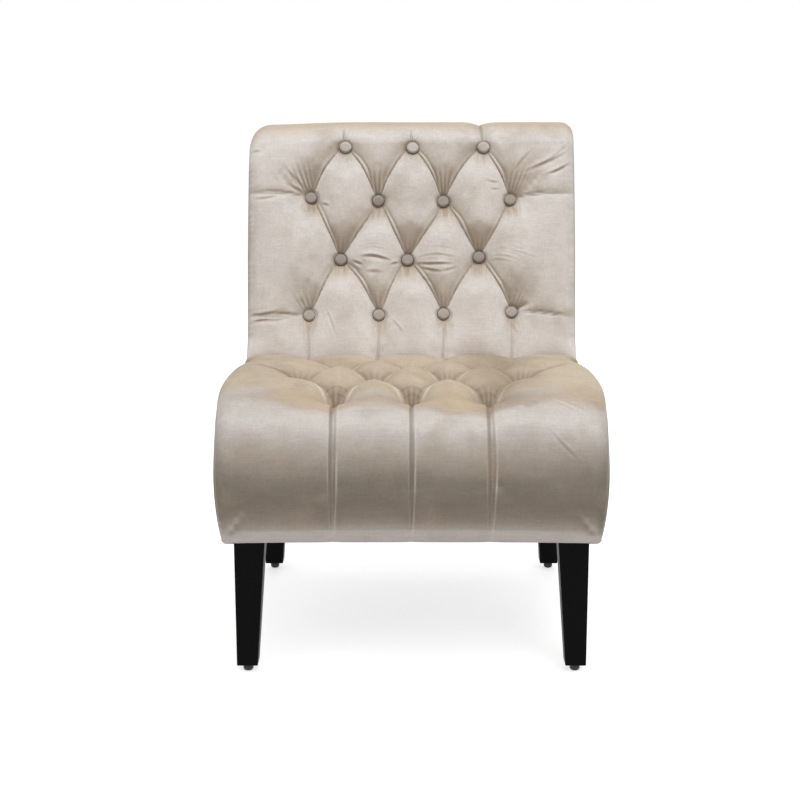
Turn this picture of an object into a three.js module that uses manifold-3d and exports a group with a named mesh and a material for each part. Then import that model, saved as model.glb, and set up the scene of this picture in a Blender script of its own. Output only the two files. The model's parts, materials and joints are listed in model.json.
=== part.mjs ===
// Armless slipper chair with a button-tufted back and seat on four square tapered legs.
// Millimetres, +Z up. The sitter faces -Y, and the origin is on the floor under the middle of the chair.
// While it is built, Y runs back from the front of the seat's nose. The closing group centres it.
import * as THREE from "three";
import { mergeVertices } from "three/addons/utils/BufferGeometryUtils.js";
import Module from "manifold-3d";

const wasm = await Module();
wasm.setup();

// Overall sizes
const overall_width = 608;
const overall_height = 831;
const leg_height = 232;
const seat_height = 440;
const seat_depth = 465;
const base_depth = 596;
const back_rake = THREE.MathUtils.degToRad(17.2);

// Clearances
const touch_gap = 0.3;
const cut_overrun = 5;

// Seat outline and padding
const nose_length = 100;
const nose_height = 108;
const nose_undercut = 22;
const seat_side_bulge = 8;
const nose_bulge = 5.5;
const bottom_draw = 10;
const bulge_run = 145;
const bulge_start = 30;
const bulge_rise = 130;
const seat_crown = 10;
const seat_crown_from_nose = 235;
const seat_crown_lead = 110;
const seat_edge_radius = 26;
const seat_bottom_radius = 5;
const seat_pad = 38;
const seat_tuft_depth = 27;
const seat_pleat_depth = 13;
const channel_depth = 7;
const first_row_from_nose = 126;
const last_row_from_back = 32;

// Back outline and padding
const roll_radius = 48;
const kick_height = 406;
const back_edge_radius = 20;
const back_pad = 32;
const back_tuft_depth = 21;
const back_pleat_depth = 10;
const top_row_below_roll = 8;
const low_row_above_seat = 69;
const rear_wrap = 62;
const side_pad = 12;

// Tufting
const columns = 4;
const rows = 4;
const outer_button_inset = 125.5;
const pleat_reach = 50;
const dimple_reach = 46;
const channel_reach = 34;
const tuft_steps = 4;

// Buttons
const button_radius = 12;
const button_height = 8;
const button_rim = 1.8;
const button_sink = 2;
const button_clearance = 0.4;

// Timber frame
const board = 18;
const rail_height = 80;
const rail_nose_radius = 18;
const front_rail_from_nose = 56;
const post_depth = 35;
const post_width = 22;
const back_rail_height = 60;
const top_rail_below_roll = 26;
const low_rail_above_kick = 14;
const back_rail_board = 22;
const block_leg = 74;
const block_height = 45;
const panel_thickness = 6;
const foam_ease = 1;

// Legs and glides
const leg_top_size = 49;
const leg_foot_size = 33;
const leg_arris = 2.5;
const leg_from_side = 20.5;
const front_leg_from_nose = 73;
const rear_leg_from_back = 2;
const rear_leg_splay = 12;
const bolt_radius = 4;
const bolt_length = 38;
const bolt_clearance = 0.6;
const glide_radius = 8;
const glide_height = 12.2;
const glide_edge = 4;

// Springs, clips, deck, webbing and dust cover
const spring_count = 4;
const spring_wire_radius = 1.9;
const spring_half_width = 20;
const spring_waves = 8;
const spring_rise = 14;
const spring_pitch = 124;
const clip_wall = 1.5;
const clip_play = 2.2;
const clip_length = 8;
const deck_thickness = 3;
const strap_count = 3;
const strap_width = 60;
const strap_thickness = 1.5;
const strap_pitch = 140;
const dust_cover_thickness = 1.2;
const dust_cover_inset = 3;

// Counts and shares of the sizes above
const button_sides = 12;
const bolt_sides = 10;
const glide_sides = 12;
const wire_sides = 6;
const steps_per_wave = 10;
const edge_flat_steps = 3;
const edge_round_steps = 3;
const seat_lead_steps = 1;
const seat_tail_steps = 10;
const back_lead_steps = 9;
const back_tail_steps = 5;
const curve_steps = 6;
const glide_edge_steps = 3;
const deck_steps = 12;
const bump_share = 0.08;
const dome_shares = [
  [0.94, 0.45],
  [0.72, 0.78],
  [0.4, 0.95],
];

// Places worked out from the sizes above
const seat_half = overall_width / 2 - seat_side_bulge;
const body_half = seat_half - nose_bulge;
const inner_half = body_half - side_pad;
const base_floor = leg_height + touch_gap;
const frame_floor = base_floor + dust_cover_thickness + touch_gap;
const rail_top = frame_floor + rail_height;
const column_pitch = (overall_width - 2 * outer_button_inset) / (columns - 1);
const post_front = base_depth - panel_thickness - touch_gap - post_depth;
const rear_rail_back = post_front - touch_gap;
const rear_rail_front = rear_rail_back - board;
const clip_height = 2 * spring_wire_radius + 2 * touch_gap + clip_wall;
const deck_top = rail_top + clip_height + touch_gap + spring_rise + deck_thickness;
const nose_centre_z = seat_height - nose_height;
const roll_centre = new THREE.Vector2(
  seat_depth +
    (overall_height - roll_radius - seat_height) * Math.tan(back_rake) +
    roll_radius / Math.cos(back_rake),
  overall_height - roll_radius,
);
const overall_depth = roll_centre.x + roll_radius;

// Finishes
const finishes = {
  velvet: new THREE.MeshStandardMaterial({ color: 0xb8a999, roughness: 0.85, metalness: 0 }),
  timber: new THREE.MeshStandardMaterial({ color: 0xc9a97a, roughness: 0.7, metalness: 0 }),
  lacquer: new THREE.MeshStandardMaterial({ color: 0x121212, roughness: 0.35, metalness: 0 }),
  steel: new THREE.MeshStandardMaterial({ color: 0x8d9094, roughness: 0.35, metalness: 1 }),
  foam: new THREE.MeshStandardMaterial({ color: 0xe6dcc0, roughness: 0.95, metalness: 0 }),
  webbing: new THREE.MeshStandardMaterial({ color: 0x8a7a5c, roughness: 0.9, metalness: 0 }),
  lining: new THREE.MeshStandardMaterial({ color: 0x1d1d1f, roughness: 0.95, metalness: 0 }),
  glide: new THREE.MeshStandardMaterial({ color: 0x2a2a2a, roughness: 0.5, metalness: 0 }),
};

const chair = new THREE.Group();

// A closed mesh as a solid that can be cut and joined.
function solidOf(geometry) {
  const plain = geometry.clone();
  plain.deleteAttribute("normal");
  plain.deleteAttribute("uv");
  const merged = mergeVertices(plain);
  return new wasm.Manifold(
    new wasm.Mesh({
      numProp: 3,
      vertProperties: new Float32Array(merged.attributes.position.array),
      triVerts: new Uint32Array(merged.index.array),
    }),
  );
}

// A solid's triangles as a geometry.
function geometryOf(solid) {
  const mesh = solid.getMesh();
  const geometry = new THREE.BufferGeometry();
  geometry.setAttribute("position", new THREE.BufferAttribute(new Float32Array(mesh.vertProperties), 3));
  geometry.setIndex(new THREE.BufferAttribute(new Uint32Array(mesh.triVerts), 1));
  geometry.computeVertexNormals();
  return geometry;
}

function addPiece(name, geometry, finish) {
  const mesh = new THREE.Mesh(geometry, finish);
  mesh.name = name;
  chair.add(mesh);
  return mesh;
}

// A board between two heights, two depths and two side places.
function boxBetween(x0, x1, y0, y1, z0, z1) {
  const geometry = new THREE.BoxGeometry(x1 - x0, y1 - y0, z1 - z0);
  geometry.translate((x0 + x1) / 2, (y0 + y1) / 2, (z0 + z1) / 2);
  return geometry;
}

// A side outline, in depth and height, carried straight across from x0 to x1.
function acrossWidth(outline, x0, x1) {
  const shape = outline instanceof THREE.Shape ? outline : new THREE.Shape(outline);
  const geometry = new THREE.ExtrudeGeometry(shape, {
    depth: x1 - x0,
    bevelEnabled: false,
    curveSegments: curve_steps,
  });
  const sideways = new THREE.Matrix4().makeBasis(
    new THREE.Vector3(0, 1, 0),
    new THREE.Vector3(0, 0, 1),
    new THREE.Vector3(1, 0, 0),
  );
  geometry.applyMatrix4(sideways);
  geometry.translate(x0, 0, 0);
  return geometry;
}

// The outside of the back: straight up from the base, then raked to meet the top roll.
function outsideLine() {
  const kick = new THREE.Vector2(base_depth, kick_height);
  const toCentre = roll_centre.clone().sub(kick);
  const lean = Math.atan2(toCentre.x, toCentre.y) + Math.asin(roll_radius / toCentre.length());
  const along = Math.sqrt(toCentre.lengthSq() - roll_radius * roll_radius);
  return {
    foot: new THREE.Vector2(base_depth, base_floor),
    kick,
    lean,
    along,
    direction: new THREE.Vector2(Math.sin(lean), Math.cos(lean)),
    inward: new THREE.Vector2(-Math.cos(lean), Math.sin(lean)),
  };
}

const outside = outsideLine();

// A point on the raked part of the outside line, moved inwards.
function rakedPoint(along, inset) {
  return outside.kick
    .clone()
    .addScaledVector(outside.direction, along)
    .addScaledVector(outside.inward, inset);
}

// The corner of the outside line at the kick, moved inwards on its mitre.
function kickPoint(inset) {
  return new THREE.Vector2(base_depth - inset, kick_height + inset * Math.tan(outside.lean / 2));
}

// The seat's side outline from the crevice over the crown and the nose and down to the front edge.
function seatOutline() {
  const crest = seat_height + seat_crown;
  const halfway = (seat_crown_from_nose + nose_length) / 2;
  const outline = new THREE.Path();
  outline.moveTo(seat_depth - touch_gap, seat_height);
  outline.quadraticCurveTo(seat_depth - seat_crown_lead, crest, seat_crown_from_nose, crest);
  outline.bezierCurveTo(halfway, crest, halfway, seat_height, nose_length, seat_height);
  outline.absellipse(nose_length, nose_centre_z, nose_length, nose_height, Math.PI / 2, Math.PI, false, 0);
  outline.absellipse(
    nose_undercut,
    nose_centre_z,
    nose_undercut,
    nose_centre_z - base_floor,
    Math.PI,
    Math.PI * 1.5,
    false,
    0,
  );
  return outline;
}

// The back's side outline from the seam behind, over the roll and down the front to the deck.
function backOutline() {
  const outline = new THREE.Path();
  const seam = rakedPoint(outside.along - rear_wrap, 0);
  outline.moveTo(seam.x, seam.y);
  const tangent = rakedPoint(outside.along, 0);
  outline.lineTo(tangent.x, tangent.y);
  outline.absarc(roll_centre.x, roll_centre.y, roll_radius, -outside.lean, Math.PI - back_rake, false);
  outline.lineTo(seat_depth, seat_height);
  outline.lineTo(seat_depth, deck_top + touch_gap);
  return outline;
}

// The place and the inward direction at a distance along an outline.
function stationOn(outline, length, distance) {
  const share = THREE.MathUtils.clamp(distance / length, 0, 1);
  const place = outline.getPoint(share);
  const tangent = outline.getTangent(share);
  return { place, inward: new THREE.Vector2(-tangent.y, tangent.x).normalize() };
}

// The buttons' places across one row: rows of four and rows of three take turns.
function rowPlaces(count) {
  return Array.from({ length: count }, (_, i) => (i - (count - 1) / 2) * column_pitch);
}

// Pleats between the buttons of neighbouring rows.
function diagonalPleats(tufts, depth) {
  const pleats = [];
  for (let i = 0; i + 1 < tufts.length; i += 1) {
    for (const x0 of tufts[i].places) {
      for (const x1 of tufts[i + 1].places) {
        if (Math.abs(x1 - x0) < column_pitch) {
          pleats.push({
            x0,
            s0: tufts[i].s,
            x1,
            s1: tufts[i + 1].s,
            d0: depth,
            d1: depth,
            reach: pleat_reach,
          });
        }
      }
    }
  }
  return pleats;
}

// Pleats that run from each button of a row straight along the outline to s1.
function straightPleats(row, s1, d0, d1, reach) {
  return row.places.map((x) => ({ x0: x, s0: row.s, x1: x, s1, d0, d1, reach }));
}

// Pleats from the outer buttons of the wide rows to the sides.
function sidePleats(tufts, depth, half) {
  const pleats = [];
  for (const row of tufts.filter((tuft) => tuft.places.length === columns)) {
    for (const side of [-1, 1]) {
      const x0 = side * row.places[columns - 1];
      pleats.push({ x0, s0: row.s, x1: side * half, s1: row.s, d0: depth, d1: 0, reach: channel_reach });
    }
  }
  return pleats;
}

// How far one pleat draws the cover in at a place.
function pleatDrop(pleat, x, s) {
  const dx = pleat.x1 - pleat.x0;
  const ds = pleat.s1 - pleat.s0;
  const share = THREE.MathUtils.clamp(
    ((x - pleat.x0) * dx + (s - pleat.s0) * ds) / (dx * dx + ds * ds),
    0,
    1,
  );
  const away = Math.hypot(x - pleat.x0 - share * dx, s - pleat.s0 - share * ds);
  const near = Math.max(0, 1 - away / pleat.reach);
  return THREE.MathUtils.lerp(pleat.d0, pleat.d1, share) * near * near;
}

// How far the pleats and buttons together draw the cover in at a place.
function coverDrop(cover, x, s) {
  let drop = 0;
  for (const pleat of cover.pleats) {
    drop = Math.max(drop, pleatDrop(pleat, x, s));
  }
  let dimple = 0;
  for (const row of cover.tufts) {
    for (const place of row.places) {
      const near = Math.max(0, 1 - Math.hypot(x - place, s - row.s) / dimple_reach);
      dimple = Math.max(dimple, near * near);
    }
  }
  return drop + (cover.tuftDepth - cover.pleatDepth) * dimple;
}

// Places across the width: even steps between the buttons, wider ones outside and the rounded edge.
function crossPlaces(half, radius) {
  const places = [];
  const outer = ((columns - 1) / 2) * column_pitch;
  const inner_steps = (columns - 1) * 2 * tuft_steps;
  for (let i = 0; i <= inner_steps; i += 1) {
    places.push({ x: -outer + (2 * outer * i) / inner_steps, inset: 0 });
  }
  const edge = [];
  for (let i = 1; i <= edge_flat_steps; i += 1) {
    edge.push({ x: outer + ((half - radius - outer) * i) / edge_flat_steps, inset: 0 });
  }
  for (let i = 1; i <= edge_round_steps; i += 1) {
    const turn = (Math.PI / 2) * (i / edge_round_steps);
    edge.push({ x: half - radius + radius * Math.sin(turn), inset: radius * (1 - Math.cos(turn)) });
  }
  const mirrored = edge.map((place) => ({ x: -place.x, inset: place.inset })).reverse();
  return [...mirrored, ...places, ...edge];
}

// Distances along the outline at which the cover has a line of points.
function crossStations(cover) {
  const stations = [];
  const first = cover.tufts[0].s;
  const last = cover.tufts[rows - 1].s;
  for (let i = 0; i < cover.leadSteps; i += 1) {
    stations.push((first * i) / cover.leadSteps);
  }
  const middle_steps = (rows - 1) * tuft_steps;
  for (let i = 0; i < middle_steps; i += 1) {
    stations.push(first + ((last - first) * i) / middle_steps);
  }
  for (let i = 0; i <= cover.tailSteps; i += 1) {
    stations.push(last + ((cover.length - last) * i) / cover.tailSteps);
  }
  return stations;
}

// Lines of points round a cover: the tufted outline, then the plain corners that close it.
function coverLines(cover) {
  const lines = crossStations(cover).map((s) => {
    const { place, inward } = stationOn(cover.outline, cover.length, s);
    const { half, radius } = cover.edgeAt(place);
    return crossPlaces(half, radius).map(({ x, inset }) => {
      const drop = inset + coverDrop(cover, x, s) * (1 - inset / radius);
      return { drop, at: new THREE.Vector3(x, place.x + inward.x * drop, place.y + inward.y * drop) };
    });
  });
  for (const corner of cover.corners) {
    const line = crossPlaces(cover.cornerHalf, cover.cornerRadius);
    lines.push(line.map(({ x }) => ({ drop: 0, at: new THREE.Vector3(x, corner.x, corner.y) })));
  }
  return lines;
}

// The outer solid of a tufted cover: a closed band, folded along its pleats, with a cap on each side.
function coverSolid(cover) {
  const lines = coverLines(cover);
  const across = lines[0].length;
  const points = lines.flat();
  const faces = [];
  const index = (line, i) => (line % lines.length) * across + i;
  for (let line = 0; line < lines.length; line += 1) {
    for (let i = 0; i + 1 < across; i += 1) {
      const a = index(line, i);
      const b = index(line, i + 1);
      const c = index(line + 1, i + 1);
      const d = index(line + 1, i);
      if (points[a].drop + points[c].drop > points[b].drop + points[d].drop) {
        faces.push(a, c, b, a, d, c);
      } else {
        faces.push(a, d, b, b, d, c);
      }
    }
  }
  const side = lines.map((line) => new THREE.Vector2(line[0].at.y, line[0].at.z));
  const turned = THREE.ShapeUtils.isClockWise(side);
  for (const [a, b, c] of THREE.ShapeUtils.triangulateShape(side, [])) {
    const [second, third] = turned ? [c, b] : [b, c];
    faces.push(index(a, 0), index(third, 0), index(second, 0));
    faces.push(index(a, across - 1), index(second, across - 1), index(third, across - 1));
  }
  const geometry = new THREE.BufferGeometry();
  const places = points.flatMap(({ at }) => [at.x, at.y, at.z]);
  geometry.setAttribute("position", new THREE.Float32BufferAttribute(places, 3));
  geometry.setIndex(faces);
  return solidOf(geometry);
}

// A button's frame: on the floor of its dimple, facing straight out of the cover.
function buttonMatrix(cover, x, s) {
  const { place, inward } = stationOn(cover.outline, cover.length, s);
  const depth = cover.tuftDepth + button_sink;
  const outward = new THREE.Vector3(0, -inward.x, -inward.y);
  const turn = new THREE.Quaternion().setFromUnitVectors(new THREE.Vector3(0, 1, 0), outward);
  const at = new THREE.Vector3(x, place.x + inward.x * depth, place.y + inward.y * depth);
  return new THREE.Matrix4().compose(at, turn, new THREE.Vector3(1, 1, 1));
}

// The pocket that a button presses into its dimple.
function buttonPocket() {
  const radius = button_radius + button_clearance;
  const depth = 2 * button_height + 2 * button_radius;
  return new THREE.LatheGeometry(
    [
      new THREE.Vector2(0, 0),
      new THREE.Vector2(radius, 0),
      new THREE.Vector2(radius, depth),
      new THREE.Vector2(0, depth),
    ],
    button_sides,
  );
}

// A covered button: a flat back, a tight rim and a domed face.
function buttonGeometry() {
  const crown = button_height - button_rim;
  const profile = [
    new THREE.Vector2(0, touch_gap),
    new THREE.Vector2(button_radius - button_rim / 2, touch_gap),
    new THREE.Vector2(button_radius, button_rim),
    ...dome_shares.map(([out, up]) => new THREE.Vector2(button_radius * out, button_rim + crown * up)),
    new THREE.Vector2(0, button_height),
  ];
  return new THREE.LatheGeometry(profile, button_sides);
}

// A tufted cover: the outer solid less its inside and its button pockets.
function tuftedCover(cover, inside) {
  let solid = coverSolid(cover);
  for (const hollow of inside) {
    solid = solid.subtract(solidOf(hollow));
  }
  for (const row of cover.tufts.filter((tuft) => tuft.buttoned)) {
    for (const x of row.places) {
      const pocket = buttonPocket().applyMatrix4(buttonMatrix(cover, x, row.s));
      solid = solid.subtract(solidOf(pocket));
    }
  }
  return geometryOf(solid);
}

function addButtons(cover, prefix) {
  cover.tufts.forEach((row, line) => {
    if (!row.buttoned) {
      return;
    }
    row.places.forEach((x, i) => {
      const name = `${prefix}_${cover.rowName(line)}_${i + 1}`;
      const button = addPiece(name, buttonGeometry(), finishes.velvet);
      button.applyMatrix4(buttonMatrix(cover, x, row.s));
    });
  });
}

// The seat's half width and edge radius: widest behind the nose, drawn in at the crevice and underneath.
function seatEdge(place) {
  const rearward = THREE.MathUtils.smoothstep(place.x, seat_depth - bulge_run, seat_depth);
  const behindNose = THREE.MathUtils.smoothstep(place.x, bulge_start, bulge_start + bulge_rise);
  const bulge = seat_side_bulge * behindNose * (1 - rearward);
  const under = THREE.MathUtils.clamp((nose_centre_z - place.y) / (nose_centre_z - base_floor), 0, 1);
  return {
    half: seat_half + bulge - nose_bulge * rearward - bottom_draw * under * under,
    radius: THREE.MathUtils.lerp(seat_edge_radius, seat_bottom_radius, under),
  };
}

function seatCoverForm() {
  const outline = seatOutline();
  const length = outline.getLength();
  const first = last_row_from_back;
  const last = seat_depth - first_row_from_nose;
  const tufts = Array.from({ length: rows }, (_, i) => ({
    s: first + ((last - first) * i) / (rows - 1),
    places: rowPlaces(columns - (i % 2)),
    buttoned: i > 0,
  }));
  const front = tufts[rows - 1];
  return {
    outline,
    length,
    tufts,
    tuftDepth: seat_tuft_depth,
    pleatDepth: seat_pleat_depth,
    leadSteps: seat_lead_steps,
    tailSteps: seat_tail_steps,
    edgeAt: seatEdge,
    pleats: [
      ...diagonalPleats(tufts, seat_pleat_depth),
      ...straightPleats(front, length, channel_depth, 0, channel_reach),
      ...straightPleats(tufts[0], 0, seat_pleat_depth, seat_pleat_depth, channel_reach),
      ...sidePleats(tufts, seat_pleat_depth, seat_half),
    ],
    corners: [new THREE.Vector2(seat_depth - touch_gap, base_floor)],
    cornerHalf: body_half,
    cornerRadius: seat_bottom_radius,
    rowName: (line) => `row_${rows - line}`,
  };
}

// The back's half width and edge radius: tight at the seam behind, full over the roll and down the front.
function backEdge(place) {
  const seam = rakedPoint(outside.along - rear_wrap, 0);
  const behind = place.x > roll_centre.x && place.y < roll_centre.y;
  const share = behind ? THREE.MathUtils.clamp((place.y - seam.y) / rear_wrap, 0, 1) : 1;
  return { half: body_half, radius: THREE.MathUtils.lerp(seat_bottom_radius, back_edge_radius, share) };
}

function backCoverForm() {
  const outline = backOutline();
  const length = outline.getLength();
  const roll_start = rear_wrap + roll_radius * (Math.PI - back_rake + outside.lean);
  const crevice = length - (seat_height - deck_top - touch_gap);
  const first = roll_start + top_row_below_roll;
  const last = crevice - low_row_above_seat;
  const tufts = Array.from({ length: rows }, (_, i) => ({
    s: first + ((last - first) * i) / (rows - 1),
    places: rowPlaces(columns - 1 + (i % 2)),
    buttoned: true,
  }));
  return {
    outline,
    length,
    tufts,
    tuftDepth: back_tuft_depth,
    pleatDepth: back_pleat_depth,
    leadSteps: back_lead_steps,
    tailSteps: back_tail_steps,
    edgeAt: backEdge,
    pleats: [
      ...diagonalPleats(tufts, back_pleat_depth),
      ...straightPleats(tufts[0], 0, back_pleat_depth, 0, channel_reach),
      ...straightPleats(tufts[rows - 1], length, back_pleat_depth, back_pleat_depth, channel_reach),
      ...sidePleats(tufts, back_pleat_depth, body_half),
    ],
    corners: [
      new THREE.Vector2(seat_depth, base_floor),
      new THREE.Vector2(outside.foot.x, outside.foot.y),
      kickPoint(0),
    ],
    cornerHalf: body_half,
    cornerRadius: back_edge_radius,
    rowName: (line) => `row_${line + 1}`,
  };
}

// The hollow under the seat cover: the padding's inner face, open below and behind.
function seatHollow() {
  const back = seat_depth + cut_overrun;
  const floor = base_floor - cut_overrun;
  const inner = new THREE.Shape();
  inner.moveTo(back, floor);
  inner.lineTo(back, seat_height - seat_pad);
  inner.lineTo(nose_length, seat_height - seat_pad);
  inner.absellipse(
    nose_length,
    nose_centre_z,
    nose_length - seat_pad,
    nose_height - seat_pad,
    Math.PI / 2,
    Math.PI,
    false,
    0,
  );
  inner.lineTo(seat_pad, floor);
  return acrossWidth(inner, -inner_half, inner_half);
}

// The padding's inner face in the back, moved in by a gap.
function backInner(gap) {
  const inset = back_pad + gap;
  return {
    depth: seat_depth + inset,
    crevice: seat_height - inset * Math.tan(back_rake / 2),
    radius: roll_radius - inset,
  };
}

// The hollow in the back cover: behind the padding, and clear through below the deck.
function backHollows() {
  const inner = backInner(0);
  const behind = panel_thickness;
  const hollow = new THREE.Shape();
  hollow.moveTo(inner.depth, base_floor - cut_overrun);
  hollow.lineTo(inner.depth, inner.crevice);
  hollow.absarc(roll_centre.x, roll_centre.y, inner.radius, Math.PI - back_rake, Math.PI / 2, true);
  const top = rakedPoint(outside.along, behind);
  hollow.lineTo(top.x, top.y);
  const kick = kickPoint(behind);
  hollow.lineTo(kick.x, kick.y);
  hollow.lineTo(base_depth - behind, base_floor - cut_overrun);
  const behindSeam = [
    rakedPoint(outside.along - rear_wrap + touch_gap, -cut_overrun),
    rakedPoint(outside.along - rear_wrap + touch_gap, behind + cut_overrun),
    kickPoint(behind + cut_overrun),
    new THREE.Vector2(base_depth - behind - cut_overrun, base_floor - cut_overrun),
    new THREE.Vector2(base_depth + cut_overrun, base_floor - cut_overrun),
    kickPoint(-cut_overrun),
  ];
  const under = boxBetween(
    -inner_half,
    inner_half,
    seat_depth - cut_overrun,
    base_depth - behind,
    base_floor - cut_overrun,
    deck_top + touch_gap,
  );
  return [
    acrossWidth(hollow, -inner_half, inner_half),
    acrossWidth(behindSeam, -inner_half, inner_half),
    under,
  ];
}

// The height of the springs and of what lies on them, above their ends.
function springLift(y) {
  const front = front_rail_from_nose + board / 2;
  const rear = rear_rail_front + board / 2;
  const share = THREE.MathUtils.clamp((y - front) / (rear - front), 0, 1);
  return spring_rise * Math.sin(Math.PI * share) ** 2;
}

// Points along the deck from front to rear, at a height above the deck's underside.
function deckPoints(front, rear, above) {
  return Array.from({ length: deck_steps + 1 }, (_, i) => {
    const y = front + ((rear - front) * i) / deck_steps;
    return new THREE.Vector2(y, rail_top + clip_height + touch_gap + springLift(y) + above);
  });
}

function addCoversAndButtons() {
  const seat = seatCoverForm();
  addPiece("seat_cover", tuftedCover(seat, [seatHollow()]), finishes.velvet);
  addButtons(seat, "seat_button");
  const back = backCoverForm();
  addPiece("back_cover", tuftedCover(back, backHollows()), finishes.velvet);
  addButtons(back, "back_button");
}

// The outside back: a stiff board with the fabric pulled round it.
function addOutsidePanel() {
  const top = outside.along - rear_wrap;
  const outline = [
    new THREE.Vector2(base_depth, base_floor),
    kickPoint(0),
    rakedPoint(top, 0),
    rakedPoint(top, panel_thickness),
    kickPoint(panel_thickness),
    new THREE.Vector2(base_depth - panel_thickness, base_floor),
  ];
  const half = inner_half - touch_gap;
  addPiece("outside_back_panel", acrossWidth(outline, -half, half), finishes.velvet);
}

// The foam block under the seat cover, with its front slab over the front rail.
function addSeatFoam() {
  const inset = seat_pad + touch_gap;
  const back = seat_depth - touch_gap;
  const rail_front = front_rail_from_nose - touch_gap;
  const shape = new THREE.Shape();
  shape.moveTo(back, seat_height - inset);
  shape.lineTo(nose_length, seat_height - inset);
  shape.absellipse(
    nose_length,
    nose_centre_z,
    nose_length - inset,
    nose_height - inset,
    Math.PI / 2,
    Math.PI,
    false,
    0,
  );
  shape.lineTo(inset, frame_floor);
  shape.lineTo(rail_front, frame_floor);
  for (const point of deckPoints(rail_front, back, deck_thickness + touch_gap)) {
    shape.lineTo(point.x, point.y);
  }
  const half = inner_half - touch_gap;
  addPiece("seat_foam", acrossWidth(shape, -half, half), finishes.foam);
}

// The foam block in the back: deep at the loins, thin at the shoulders and over the top rail.
function addBackFoam() {
  const inner = backInner(touch_gap);
  const frame_inset = panel_thickness + touch_gap + post_depth;
  const rear_inset = frame_inset + 2 * touch_gap + strap_thickness;
  const rail_top_along = outside.along - top_rail_below_roll + touch_gap;
  const shape = new THREE.Shape();
  shape.moveTo(inner.depth, deck_top + touch_gap);
  shape.lineTo(base_depth - rear_inset, deck_top + touch_gap);
  const corners = [
    kickPoint(rear_inset),
    rakedPoint(rail_top_along, rear_inset),
    rakedPoint(rail_top_along, panel_thickness + foam_ease),
    rakedPoint(outside.along, panel_thickness + foam_ease),
  ];
  for (const corner of corners) {
    shape.lineTo(corner.x, corner.y);
  }
  shape.absarc(roll_centre.x, roll_centre.y, inner.radius, Math.PI / 2, Math.PI - back_rake, false);
  shape.lineTo(inner.depth, inner.crevice);
  const half = inner_half - touch_gap;
  addPiece("back_foam", acrossWidth(shape, -half, half), finishes.foam);
}

// A clip that holds one end of a spring: a low bridge on its rail, open fore and aft.
function clipParts(x, y) {
  const tunnel_half = spring_wire_radius + clip_play;
  const outer_half = tunnel_half + clip_wall;
  const roof = rail_top + clip_height;
  const bridge = boxBetween(
    x - outer_half,
    x + outer_half,
    y - clip_length / 2,
    y + clip_length / 2,
    rail_top - clip_wall,
    roof,
  );
  const tunnel = boxBetween(
    x - tunnel_half,
    x + tunnel_half,
    y - board,
    y + board,
    rail_top,
    roof - clip_wall,
  );
  return { bridge, tunnel };
}

function springPlaces() {
  return Array.from({ length: spring_count }, (_, i) => (i - (spring_count - 1) / 2) * spring_pitch);
}

// A cross rail with the clips of every spring along its top.
function addClippedRail(name, front) {
  const half = inner_half - 2 * touch_gap - board;
  let solid = solidOf(boxBetween(-half, half, front, front + board, frame_floor, rail_top));
  for (const x of springPlaces()) {
    const { bridge, tunnel } = clipParts(x - spring_half_width, front + board / 2);
    solid = solid.add(solidOf(bridge)).subtract(solidOf(tunnel));
  }
  addPiece(name, geometryOf(solid), finishes.timber);
}

// One zigzag spring: a wire that swings from side to side between its clips.
class ZigzagWire extends THREE.Curve {
  constructor(x, front, rear) {
    super();
    this.x = x;
    this.front = front;
    this.rear = rear;
  }

  getPoint(share, target = new THREE.Vector3()) {
    const length = this.rear - this.front;
    const turn = -Math.PI / 2 + share * spring_waves * 2 * Math.PI;
    const bump = -bump_share * (length / spring_waves) * Math.sin(2 * turn);
    const y = this.front + share * length + bump;
    const z = rail_top + touch_gap + spring_wire_radius + springLift(y);
    return target.set(this.x + spring_half_width * Math.sin(turn), y, z);
  }
}

// A round section with flats, for wires.
function roundSection(radius, sides) {
  const points = Array.from({ length: sides }, (_, i) => {
    const turn = (2 * Math.PI * i) / sides;
    return new THREE.Vector2(radius * Math.cos(turn), radius * Math.sin(turn));
  });
  return new THREE.Shape(points);
}

function addSprings() {
  springPlaces().forEach((x, i) => {
    const wire = new ZigzagWire(x, front_rail_from_nose + board / 2, rear_rail_front + board / 2);
    const geometry = new THREE.ExtrudeGeometry(roundSection(spring_wire_radius, wire_sides), {
      steps: spring_waves * steps_per_wave,
      extrudePath: wire,
      bevelEnabled: false,
    });
    addPiece(`seat_spring_${i + 1}`, geometry, finishes.steel);
  });
}

// The deck: a felt sheet over the springs, stapled down on the rails.
function addDeck() {
  const rear = rear_rail_back;
  const under = deckPoints(front_rail_from_nose, rear, 0);
  const over = deckPoints(front_rail_from_nose, rear, deck_thickness).reverse();
  const half = inner_half - touch_gap;
  addPiece("seat_deck", acrossWidth([...under, ...over], -half, half), finishes.webbing);
}

// The side rails, with their front corners rounded under the nose.
function addSideRails() {
  const rear = base_depth - panel_thickness - touch_gap;
  const round = rail_nose_radius;
  const shape = new THREE.Shape();
  shape.moveTo(front_rail_from_nose, frame_floor);
  shape.lineTo(rear, frame_floor);
  shape.lineTo(rear, rail_top);
  shape.lineTo(front_rail_from_nose + round, rail_top);
  shape.absarc(front_rail_from_nose + round, rail_top - round, round, Math.PI / 2, Math.PI, false);
  const outer = inner_half - touch_gap;
  addPiece("left_side_rail", acrossWidth(shape, -outer, board - outer), finishes.timber);
  addPiece("right_side_rail", acrossWidth(shape, outer - board, outer), finishes.timber);
}

// The middle of a leg's top, where its bolt stands.
function legCentre(side, rear) {
  const front = rear ? base_depth - rear_leg_from_back - leg_top_size : front_leg_from_nose;
  return new THREE.Vector2(side * (seat_half - leg_from_side - leg_top_size / 2), front + leg_top_size / 2);
}

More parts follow.
